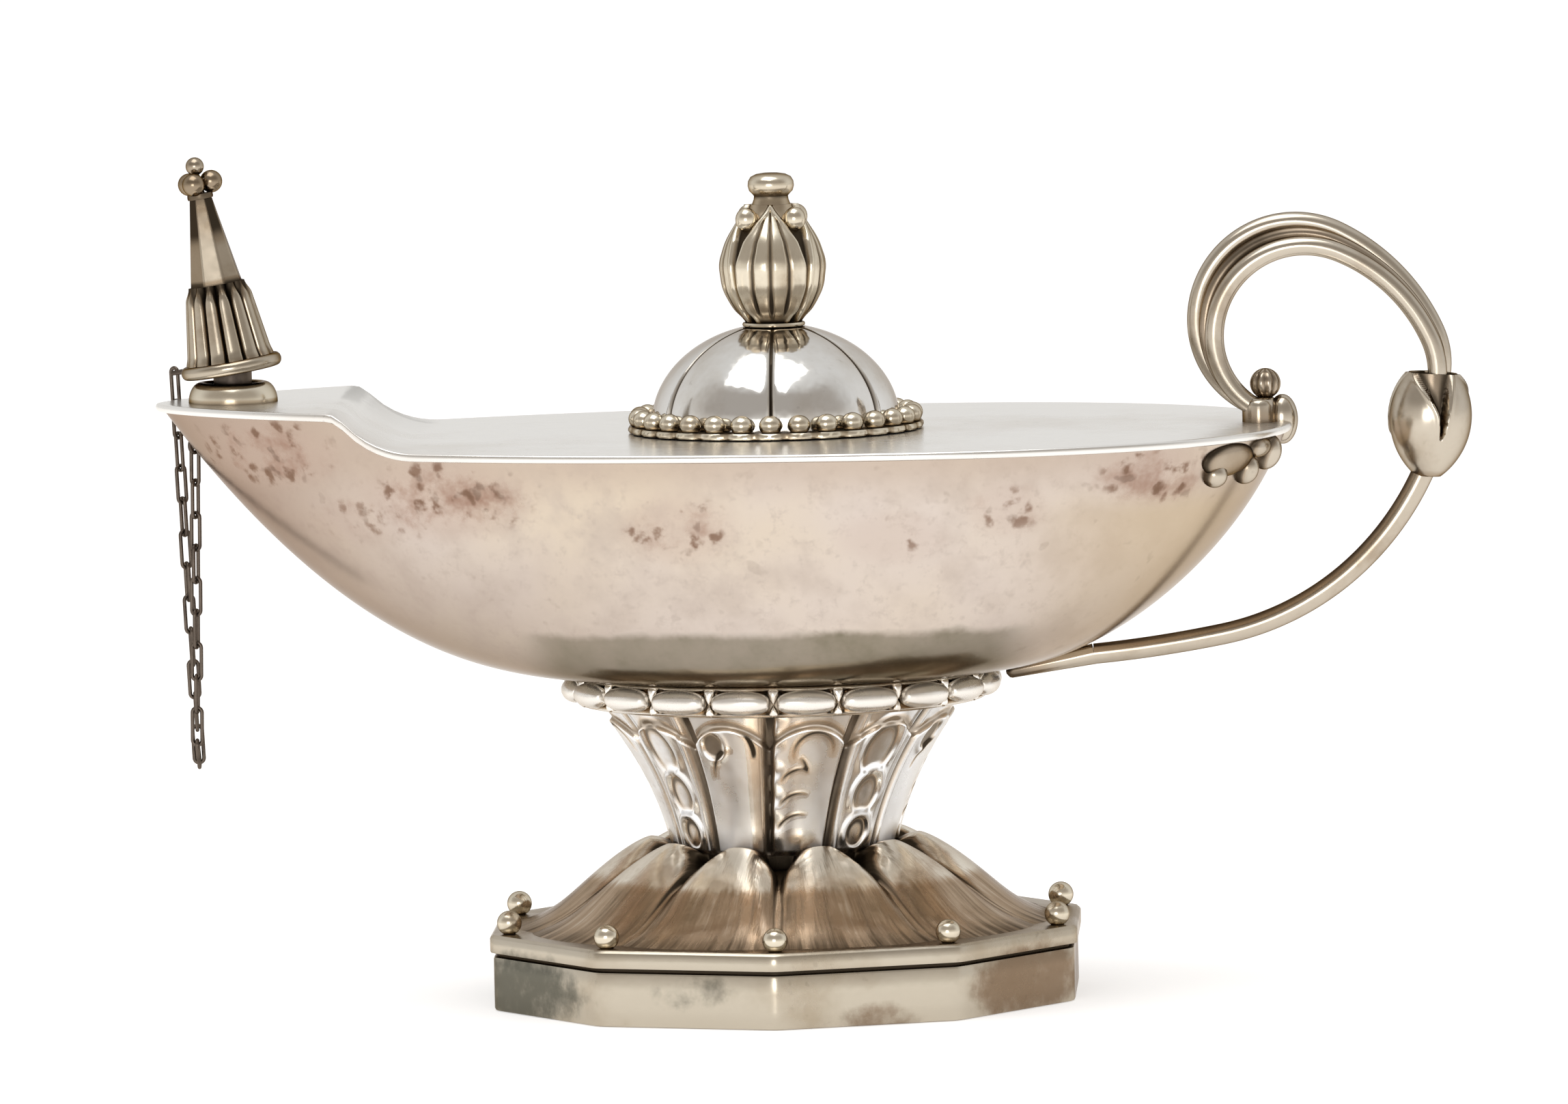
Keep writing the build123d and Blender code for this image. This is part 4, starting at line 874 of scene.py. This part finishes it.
berries = [(ball(around(3.9, angle, BUD_TOP_Z - 1.6), (1.25, 1.25, 1.4), 14, 20), 0.22, False)
           for angle in circle(4, math.pi / 4)]
dress("lid_rim", [(*milled_rim(), True)], TRIM)
dress("lid_beads", lid_balls(), TRIM)
dress("lid_dome", [(*gored_dome(), True)], POLISHED, 50.0)
dress("finial_washer", [(*turned(WASHER_SECTION, 72, WASHER_Z), True)], TRIM)
dress("finial_bud", [(*petal_bud(), False)], TRIM, 60.0)
dress("finial_berries", berries, TRIM)
dress("finial_button", [(*turned(BUTTON_SECTION, 60, BUD_TOP_Z), False)], TRIM)


# Wick collar and snuffer

SNUFFER_AT, SNUFFER_LEAN = (WICK_X, 0, 72.65), -9.0
FLANGE_RADIUS, FLANGE_HEIGHT, SNUFFER_BORE = 5.8, 1.5, 4.1
SKIRT_TOP, SPIRE_TOP = 10.3, 20.2
TONGUES = 14

# Neck between the beads at the tip: radius, height on the snuffer's axis, mark
NECK_SECTION = ((0, 20.2, 0.75), (1.45, 20.2, 0.75), (1.5, 20.45, 0.75), (1.45, 20.8, 0.75),
                (0.6, 20.85, 0.75), (0.45, 22.5, 0.75), (0.3, 23.2, 0.75), (0, 23.25, 0.75))


def leaned(grid):
    """Snuffer piece drawn on its own axis, leaned towards the spout's end."""
    return lean(grid, SNUFFER_AT, SNUFFER_LEAN)


def round_collar():
    """Half-oval ring on the spout, with painted shade at its foot and on its inner side towards the tube."""
    crown = np.linspace(0, np.pi, 24)
    marks = 0.75 * smooth(0.35, 0.0, crown) + 0.8 * smooth(1.9, 2.6, crown)
    grid, marks = turned(np.stack([3.65 + 1.45 * np.cos(crown), 2.3 * np.sin(crown), marks], -1), 72, SPOUT_Z)
    return grid + (WICK_X, 0, 0), marks


def round_flange():
    """Disc with a half-round edge at the snuffer's foot."""
    edge, half = np.linspace(-np.pi / 2, np.pi / 2, 11), FLANGE_HEIGHT / 2
    rounding = np.stack([FLANGE_RADIUS - 0.6 + 0.6 * np.cos(edge), half + half * np.sin(edge),
                         smooth(0.4, 1.4, np.abs(edge)) * 0.6], -1)
    return turned([(SNUFFER_BORE, 0, 0.8), *rounding, (SNUFFER_BORE, FLANGE_HEIGHT, 0.9)], 72)


def fluted_skirt():
    """Tongues round a cone; a dark groove between every two, and each tongue ends in a rounded tip."""
    angle, p = parted(TONGUES, 26, 90)
    s = np.linspace(0, 1, 48)[:, None]
    crest = 4.95 - 1.35 * s
    swell = np.clip(4 * p * (1 - p), 0, 1) ** 0.55
    off = np.minimum(p, 1 - p) * 2 * np.pi / TONGUES * crest
    gap = bell(off, 0.2 + 0.25 * smooth(0.7, 1.0, s))
    tip = smooth(0.82, 0.98, s + 0.16 * (1 - swell))
    foot = smooth(0.12, 0.0, s)
    radius = crest - 0.45 * (1 - swell) - 0.25 * gap - 0.35 * tip + 0.12 * foot
    marks = np.clip(gap * 0.95 + 0.75 * tip + 0.35 * foot, 0, 1)
    grid = around(radius, angle, FLANGE_HEIGHT + (SKIRT_TOP - FLANGE_HEIGHT) * s)
    return lined(grid, marks, angle, ((2.4, SKIRT_TOP), (SNUFFER_BORE, FLANGE_HEIGHT)), 0.9)


def faceted_spire():
    """Eight-sided tapering spire with soft corners, hollow below, each facet given its own painted shade and
    three facets darker higher up.
    """
    angle = circle(8 * 14)
    s = np.linspace(0, 1, 26)[:, None]
    radius = (3.1 - 1.75 * s) * soft_polygon(angle, 1.0, 8, 90.0) * math.cos(math.pi / 8)
    facet = (np.round(np.degrees(angle) / 45) % 8).astype(int)
    facet_shade = np.array([0.25, 0.45, 0.35, 0.25, 0.55, 0.5, 0.12, 0.3])[facet]
    dark_patch = np.where(np.isin(facet, (2, 5, 7)), 0.75, 0.2) * smooth(0.4, 0.75, s)
    ends = 0.7 * smooth(0.08, 0.0, s) + 0.4 * smooth(0.8, 1.0, s)
    grid = around(radius, angle, SKIRT_TOP + (SPIRE_TOP - SKIRT_TOP) * s)
    inside = ((0.02, SPIRE_TOP), (0.02, 16.31), (0.9, 16.3), (2.3, SKIRT_TOP))
    return lined(grid, np.clip(facet_shade + dark_patch + ends, -0.2, 1), angle, inside, 0.8)


dress("wick_collar", [(*round_collar(), True)], TRIM)
snuffer_pieces = {"snuffer_flange": (round_flange, 38.0), "snuffer_skirt": (fluted_skirt, 60.0),
                  "snuffer_spire": (faceted_spire, 40.0)}
for node, (shape, crease) in snuffer_pieces.items():
    grid, marks = shape()
    dress(node, [(leaned(grid), marks, True)], SNUFFER, crease)
neck, neck_marks = turned(NECK_SECTION, 40)
tip_parts = [(leaned(neck), neck_marks, False), (leaned(ball((0, 0, 23.95), 1.05)), 0.25, False)]
for angle in circle(3, math.radians(255)):
    tip_parts.append((leaned(ball(around(1.55, angle, 21.95), 1.3)), 0.45, False))
dress("snuffer_beads", tip_parts, SNUFFER)


# Chain

LINK, LINK_WIDE, LINK_WIRE, LINK_TWIST = 4.75, 1.55, 0.45, 86.0
LINK_BEND, LINK_RUN = (LINK_WIDE - LINK_WIRE) / 2, LINK - LINK_WIDE
LINK_STEP = LINK_RUN + LINK_BEND
CAP_LINKS, SPOUT_LINKS = 12, 9
EYE_ANGLE, EYE_REACH, EYE_LONG, EYE_WIDE, EYE_WIRE = 138.0, 4.1, 6.0, 1.9, 0.5
STAPLE_RING, STAPLE_TOP = 0.8, 3.2


def level_way(degrees):
    """Level unit direction at an angle from X."""
    return around(1.0, math.radians(degrees), 0.0)


def link_loop(length, width, thick, seat, across, along):
    """Long wire link round seat: two runs and two half circles."""
    bend, half = (width - thick) / 2, (length - width) / 2
    arc = np.linspace(0, np.pi, 13)
    run = np.linspace(-half, half, 8)[1:-1]
    turn = np.concatenate([0 * run, arc, np.pi + 0 * run, np.pi + arc])[:, None]
    shift = np.concatenate([run, half + 0 * arc, -run, -half + 0 * arc])[:, None]
    out = np.cos(turn) * across + np.sin(turn) * along
    return round_wire(seat + bend * out + shift * along, out, np.cross(across, along), thick / 2)


def hang_link(start, along, number):
    """Link from a bend centre along a heading, twisted from the last."""
    across = np.cross(along, level_way(EYE_ANGLE - 90 + LINK_TWIST * number))
    across /= np.linalg.norm(across)
    seat = start + along * LINK_RUN / 2
    return link_loop(LINK, LINK_WIDE, LINK_WIRE, seat, across, along), 0.0, True


def heading(drift, count, upward):
    """Unit direction of a strand that leans by drift from end to end."""
    run = np.array([*drift, upward * LINK_STEP * count])
    return run / np.linalg.norm(run)


down, up = heading((1.8, -0.4), CAP_LINKS, -1), heading((0.6, -0.5), SPOUT_LINKS, 1)
turn_way = (level_way(EYE_ANGLE + 180 + (LINK_TWIST - 90) * CAP_LINKS) + UP) * math.sqrt(0.5)
chain_top = leaned(level_way(EYE_ANGLE) * (FLANGE_RADIUS + EYE_REACH - EYE_WIRE / 2) + UP * FLANGE_HEIGHT / 2)
chain_low = chain_top + down * LINK_STEP * CAP_LINKS
turn_end = chain_low + turn_way * LINK_RUN
cap_links = [hang_link(chain_top + down * LINK_STEP * k, down, k) for k in range(CAP_LINKS)]
spout_links = [hang_link(chain_low, turn_way, CAP_LINKS)]
for k in range(SPOUT_LINKS):
    spout_links.append(hang_link(turn_end + up * (LINK_STEP * k + LINK_BEND), up, CAP_LINKS + 1 + k))
chain_end = turn_end + up * LINK_STEP * SPOUT_LINKS

cap_chain = build("chain_cap_strand_form", cap_links, OXIDE)
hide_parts("chain_cap_strand")
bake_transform(cap_chain)
dress("chain_spout_strand", spout_links, OXIDE)

eye_seat = level_way(EYE_ANGLE) * (FLANGE_RADIUS + EYE_REACH - EYE_LONG / 2) + UP * FLANGE_HEIGHT / 2
eye = link_loop(EYE_LONG, EYE_WIDE, EYE_WIRE, eye_seat, level_way(EYE_ANGLE - 90), level_way(EYE_ANGLE))
dress("snuffer_eye", [(leaned(eye), 0.3, True)], OXIDE)

staple_at = chain_end + UP * STAPLE_RING
staple_side = level_way(EYE_ANGLE + LINK_TWIST * (CAP_LINKS + 1 + SPOUT_LINKS))
ring_angle = circle(28)[:, None]
ring_out = np.cos(ring_angle) * staple_side + np.sin(ring_angle) * UP
staple = round_wire(staple_at + STAPLE_RING * ring_out, ring_out, np.cross(staple_side, UP), EYE_WIRE / 2)
post = staple_at + np.linspace(STAPLE_RING, STAPLE_TOP, 5)[:, None] * UP
dress("spout_eye", [(staple, 0.3, True), (capped(tube(post, EYE_WIRE / 2, 10)), 0.3, False)], OXIDE)


# Handle

HANDLE_FOOT = (55.2, 66.3)
POD_X, POD_FOOT_Z, POD_HEIGHT, POD_LEAN = 74.2, 58.3, 11.8, 4.0
POD_BORE, POD_FLOOR = 2.6, 8.2
POD_SLITS = (-73, 47, 167)
POD_CENTRE, POD_ARC = circle_through((1.5, 0.0), (4.65, POD_HEIGHT / 2), (3.05, POD_HEIGHT))
LOOP_WIRE, LOWER_WIRE = 1.1, 1.3
WIRE_END, TAIL_END = (35.8, 38.6), (25.7, 36.65)

# Loop wires: left, top and right of the loop as (x, z), depth y, angle of the painted shade where the wires
# meet
LOOPS = {"handle_wire_near": ((50.2, 74.6), (64.5, 84.1), (74.7, 74.1), -1.3, np.pi / 2),
         "handle_wire_far": ((48.2, 76.3), (64.6, 86.3), (75.3, 74.9), 1.3, -np.pi / 2)}


def loop_wire(left, top, right, y, shade_side):
    """Round wire along tangent arcs: up from the socket, over and down into the pod, with painted shade along
    the side where the wires meet.
    """
    tilt = math.radians(POD_LEAN)
    in_pod = (POD_X + math.sin(tilt) * (POD_FLOOR + 0.1), POD_FOOT_Z + math.cos(tilt) * (POD_FLOOR + 0.1))
    rise, _ = tangent_arc(left, (0, -1), HANDLE_FOOT, 26)
    over, way = tangent_arc(left, (0, 1), top, 46)
    fall, way = tangent_arc(top, way, right, 40)
    into, _ = tangent_arc(right, way, in_pod, 16)
    path = in_side_plane(np.concatenate([rise[::-1], over[1:], fall[1:], into[1:]]), y)
    contact_shade = bell(wrapped(circle(28) - shade_side), 0.4)
    share = np.linspace(0, 1, len(path))[:, None]
    marks = np.clip(0.6 * contact_shade + smooth(0.03, 0.0, share) + smooth(0.955, 0.985, share), 0, 1)
    return capped(tube(path, LOOP_WIRE, 28)), ended(marks)


def shaded_fill_line():
    """Fill between the two wires, darkened as painted shade in the crevice, along the loop that runs midway
    between theirs.
    """
    near, far = LOOPS.values()
    grid, _ = loop_wire(*(np.add(a, b) / 2 for a, b in zip(near[:3], far[:3])), 0.35, 0.0)
    centre = grid.mean(1, keepdims=True)
    share = np.linspace(0, 1, len(grid))[:, None]
    return centre + (grid - centre) * 0.68, 0.33 + 0.5 * bell(share - 0.4, 0.13)


def split_pod():
    """Pod of three leaves: an arc profile, cut by three deep V slits whose lips are rolled out and bright."""
    z = np.linspace(0, POD_HEIGHT, 60)[:, None]
    angle = circle(180)
    radius = POD_CENTRE[0] + np.sqrt(np.maximum(POD_ARC**2 - (z - POD_CENTRE[1]) ** 2, 0)) + 0 * angle
    marks = 0.45 * smooth(1.2, 0.0, z) + 0 * angle
    rise = np.clip((z - 4.6) / 7.2, 0, 1)
    left = 0.12 + 0.3 * rise + 2.9 * smooth(6.6, 12.6, z)
    right = 0.12 + 1.1 * rise
    split = smooth(4.2, 5.0, z)
    for slit in POD_SLITS:
        off = wrapped(angle - math.radians(slit)) * radius
        beyond = np.maximum(-off - left, off - right)
        # Painted shade inside each slit, darkest towards its lips
        inside = smooth(0.12, -0.2, beyond) * split
        lip = bell(beyond - 0.3, 0.26) * split
        radius = radius + 0.22 * lip - (radius - 2.7) * inside * 0.8
        marks = np.maximum(marks * (1 - lip), (0.85 - 0.3 * smooth(-0.5, -1.6, beyond)) * inside) - 0.4 * lip
    # Painted shade in a shallow dent low on one leaf
    hollow = bell((angle - math.radians(-128)) * radius - 0.6 * (4.5 - z), 0.7)
    hollow = hollow * smooth(6.2, 3.5, z) * smooth(0.3, 1.5, z)
    marks = np.maximum(marks, 0.55 * hollow)
    grid = np.concatenate([around(0.02, angle, 0.0)[None], around(radius - 0.35 * hollow, angle, z)])
    mouth = ((POD_BORE, 11.5), (POD_BORE, POD_FLOOR), (0.02, POD_FLOOR))
    grid, marks = lined(grid, np.concatenate([marks[:1], marks]), angle, mouth, 0.95)
    return lean(grid, (POD_X, 0, POD_FOOT_Z), POD_LEAN), marks


def lower_wire():
    """Wire along tangent arcs from inside the pod, under the stern, to the bowl; it tapers to its end."""
    start, way = (POD_X - 0.75, POD_FOOT_Z), (math.cos(math.radians(-116)), math.sin(math.radians(-116)))
    runs = [complex(*start) - 1.8 * np.linspace(1, 0.1, 4) * complex(*way), [complex(*start)]]
    for end in ((65.5, 47.9), (50.5, 40.6), WIRE_END):
        arc, way = tangent_arc(start, way, end, 30)
        runs.append(arc[1:])
        start = end
    path = in_side_plane(np.concatenate(runs))
    # Painted shade along the wire's upper side, under the stern
    shade = bell(wrapped(circle(22) + 2.0), 0.6)
    return capped(tube(path, LOWER_WIRE - 0.12 * np.linspace(0, 1, len(path)), 22)), 0.2 + 0.6 * shade


def tapered_tail():
    """Straight tapering end with a rounded tip, dark towards the stem ring."""
    share = np.linspace(0, 1, 36)
    line = complex(*WIRE_END) + (complex(*TAIL_END) - complex(*WIRE_END)) * share
    tip = np.clip((share - 0.94) / 0.06, 0, 0.97)
    grid = capped(tube(in_side_plane(line), (1.2 - 0.45 * share) * np.sqrt(1 - tip**2), 20))
    return grid, 0.2 + 0.5 * smooth(0.3, 0.9, np.linspace(0, 1, len(grid)))[:, None]


dress("handle_wire_near", [(*loop_wire(*LOOPS["handle_wire_near"]), False)], HANDLE)
dress("handle_wire_far", [(*loop_wire(*LOOPS["handle_wire_far"]), False), (*shaded_fill_line(), False)], HANDLE)
dress("handle_bud", [(*split_pod(), False)], HANDLE, 60.0)
dress("handle_lower_wire", [(*lower_wire(), False)], HANDLE)
dress("handle_tail", [(*tapered_tail(), False)], HANDLE)


# Stern ornament

# Rows of the socket: share of its oval, height, mark
SOCKET_ROWS = ((0.02, 0, 0.8), (1, 0, 0.7), (1, 1.9, 0.2), (0.94, 2.4, 0.1), (0.8, 2.72, 0.2),
               (0.5, 2.8, 0.5), (0.02, 2.8, 0.6))

# Leaf pieces: x, z, radii along, up and out of the hull, how deep they sink, mark at the edge and the crown
LEAF_PIECES = ((51.8, 62.0, (4.6, 2.1, 1.2), 0.2, 0.95, 0.38), (55.2, 63.0, (2.4, 1.2, 1.2), 0.1, 0.8, 0.2),
               (50.1, 60.5, (1.5, 1.5, 1.6), 0.0, 0.8, -0.2), (53.5, 60.7, (1.35, 1.8, 1.7), 0.0, 0.8, -0.2),
               (56.0, 62.2, (1.4, 2.1, 1.7), 0.0, 0.8, -0.1))


def oval_socket():
    """Oval block: a turned section widened across, drawn in over a rounded top edge."""
    grid, marks = turned(SOCKET_ROWS, 64, DECK_Z)
    return grid * (2.0, 3.1, 1) + (HANDLE_FOOT[0], 0, 0), marks


def ribbed_knob():
    """Small dome whose radius dips by a cosine between ten ribs."""
    grid = ball((0, 0, 0), 1.75, 24, 80)
    ribs = 0.5 - 0.5 * np.cos(10 * circle(80))
    grid[..., :2] *= (1 - 0.09 * ribs)[:, None]
    return grid + (55.9, 0, 69.2), 0.25 + 0.5 * ribs


def long_drop():
    """Long bead with one dark fold down its forward side."""
    grid = ball((0, 0, 0), (1.75, 1.75, 2.85), 28, 40)
    fold = bell(np.arctan2(grid[..., 1], grid[..., 0]) + 2.5, 0.3)
    grid[..., :2] *= (1 - 0.14 * fold)[..., None]
    return grid + (57.8, 0, 65.1), 0.8 * fold


def stern_half_width(x, z):
    """Half width of the hull aft of its widest place."""
    t = math.sqrt((z - BOWL_Z) / BOWL_DEPTH)
    full = 1 - STERN_FULL * t
    share = min(1.0, (x - MIDDLE_SHIFT * t) / stern_length(t))
    return (FLOOR_BEAM + BEAM_REACH * t) * (1 - share ** (2 / full)) ** (full / 2)


def on_hull(x, z, side, radii, sink):
    """Ellipsoid laid on the stern: its radii lie along the hull, up it and out of it."""
    step = 0.05
    slope_x = (stern_half_width(x + step, z) - stern_half_width(x - step, z)) / (2 * step)
    slope_z = (stern_half_width(x, z + step) - stern_half_width(x, z - step)) / (2 * step)
    out = np.array([-slope_x, side, -slope_z])
    out /= np.linalg.norm(out)
    along = np.cross(out, UP)
    along /= np.linalg.norm(along)
    grid = ball((0, 0, 0), radii, 22, 30) @ np.array([along, np.cross(along, out), out])
    return grid + (x, side * stern_half_width(x, z), z) - out * sink


def leaf_half(side):
    """Lobes of the leaf on one side of the stern, dark at their edges."""
    edge = smooth(0.72, 0.25, np.cos(np.linspace(0, np.pi, 22)))[:, None]
    for x, z, radii, sink, edge_mark, crown_mark in LEAF_PIECES:
        yield on_hull(x, z, side, radii, sink), crown_mark + (edge_mark - crown_mark) * edge, False


for node, shape in (("stern_socket", oval_socket), ("stern_knob", ribbed_knob), ("stern_drop", long_drop)):
    dress(node, [(*shape(), False)], HANDLE)
dress("stern_scroll_near", leaf_half(-1), HANDLE)
dress("stern_scroll_far", leaf_half(1), HANDLE)


# Carried-over pieces

carried = {"filler_neck": INNER, "lid_plug": INNER, "finial_stud": INNER, "finial_nut": INNER,
           "wick_tube": OXIDE, "wick": WICK}
for node, finish in carried.items():
    mesh = frame["nodes"][node].data
    mesh.materials.clear()
    mesh.materials.append(finish)


# Floor, light and camera, in metres

FLOOR_RINGS, FLOOR_DROP = (0.001, 0.4, 1.5, 6.0), 0.00005
LIGHT_AIM, CAMERA_AIM = Vector((0, 0, 0.05)), Vector((0.0006, 0, 0.0509))
CAMERA_AWAY, CAMERA_Z, CAMERA_LENS = 1.7, 0.198, 343.0
CAMERA_YAW, CAMERA_ROLL = math.radians(2.4), math.radians(1.25)


def show(thing):
    """Object put into the scene."""
    bpy.context.scene.collection.objects.link(thing)
    return thing


floor_mesh = bpy.data.meshes.new("studio_floor")
disc = around(np.array(FLOOR_RINGS)[:, None], circle(64), -FLOOR_DROP)
floor_mesh.from_pydata(disc.reshape(-1, 3), [], quads(*disc.shape[:2]))
floor = show(bpy.data.objects.new("studio_floor", floor_mesh))
floor_material, w = new_tree("studio_floor_white")
camera_ray, glossy_ray, through_ray = (w.node("ShaderNodeLightPath", out=f"Is {kind} Ray")
                                       for kind in ("Camera", "Glossy", "Transmission"))
seen = (camera_ray + glossy_ray + through_ray).span(0.0, 1.0)
matt = w.node("ShaderNodeBsdfDiffuse", None, {"Color": rgb(0.82, 0.81, 0.80)})
glow = w.node("ShaderNodeEmission", None, {"Color": rgb(1, 1, 1), "Strength": 0.48})
both = w.node("ShaderNodeAddShader", None, {0: matt, 1: glow})
w.node("ShaderNodeOutputMaterial", None,
       {"Surface": w.node("ShaderNodeMixShader", None, {0: seen, 1: matt, 2: both})})
floor_mesh.materials.append(floor_material)

world = bpy.data.worlds.new("studio")
bpy.context.scene.world = world
world.use_nodes = True
world.node_tree.nodes.clear()
w = Wire(world.node_tree)
_, ahead, aloft = w.node("ShaderNodeTexCoord", out="Generated").axes()
room = w.mix(aloft.span(0.05, 0.40), rgb(0.95, 0.92, 0.88), rgb(0.46, 0.43, 0.40))
room = w.mix(aloft.span(0.70, 0.92), room, rgb(0.85, 0.85, 0.85))
backdrop = w.mix(aloft.span(0.0, 0.7), rgb(0.92, 0.92, 0.92), rgb(0.80, 0.80, 0.80))
sky = w.mix(ahead.span(-0.45, 0.25), room, backdrop)
lit = w.node("ShaderNodeBackground", None, {"Color": sky, "Strength": 1.0})
w.node("ShaderNodeOutputWorld", None, {"Surface": lit})

for name, place, size, power in (("overhead_softbox", (-0.12, -0.18, 0.95), 0.7, 3.4),
                                 ("front_softbox", (-0.15, -1.25, 0.08), 0.5, 3.6)):
    lamp = bpy.data.lights.new(name, "AREA")
    lamp.shape, lamp.size, lamp.energy = "SQUARE", size, power
    softbox = show(bpy.data.objects.new(name, lamp))
    softbox.location = place
    softbox.rotation_euler = (LIGHT_AIM - Vector(place)).to_track_quat("-Z", "Y").to_euler()

stand = Vector((CAMERA_AWAY * math.sin(CAMERA_YAW), -CAMERA_AWAY * math.cos(CAMERA_YAW), CAMERA_Z))
look = (CAMERA_AIM - stand).normalized()
level = look.cross(Vector((0, 0, 1))).normalized()
upright = level.cross(look)
right = level * math.cos(CAMERA_ROLL) - upright * math.sin(CAMERA_ROLL)
top = upright * math.cos(CAMERA_ROLL) + level * math.sin(CAMERA_ROLL)
camera_data = bpy.data.cameras.new("photo_camera")
camera_data.lens, camera_data.sensor_width, camera_data.sensor_fit = CAMERA_LENS, 36.0, "HORIZONTAL"
camera_data.clip_end = 50.0
camera = show(bpy.data.objects.new("photo_camera", camera_data))
camera.matrix_world = Matrix((*zip(right, top, -look, stand), (0, 0, 0, 1)))
bpy.context.scene.camera = camera
bpy.context.scene.view_settings.view_transform = "Standard"
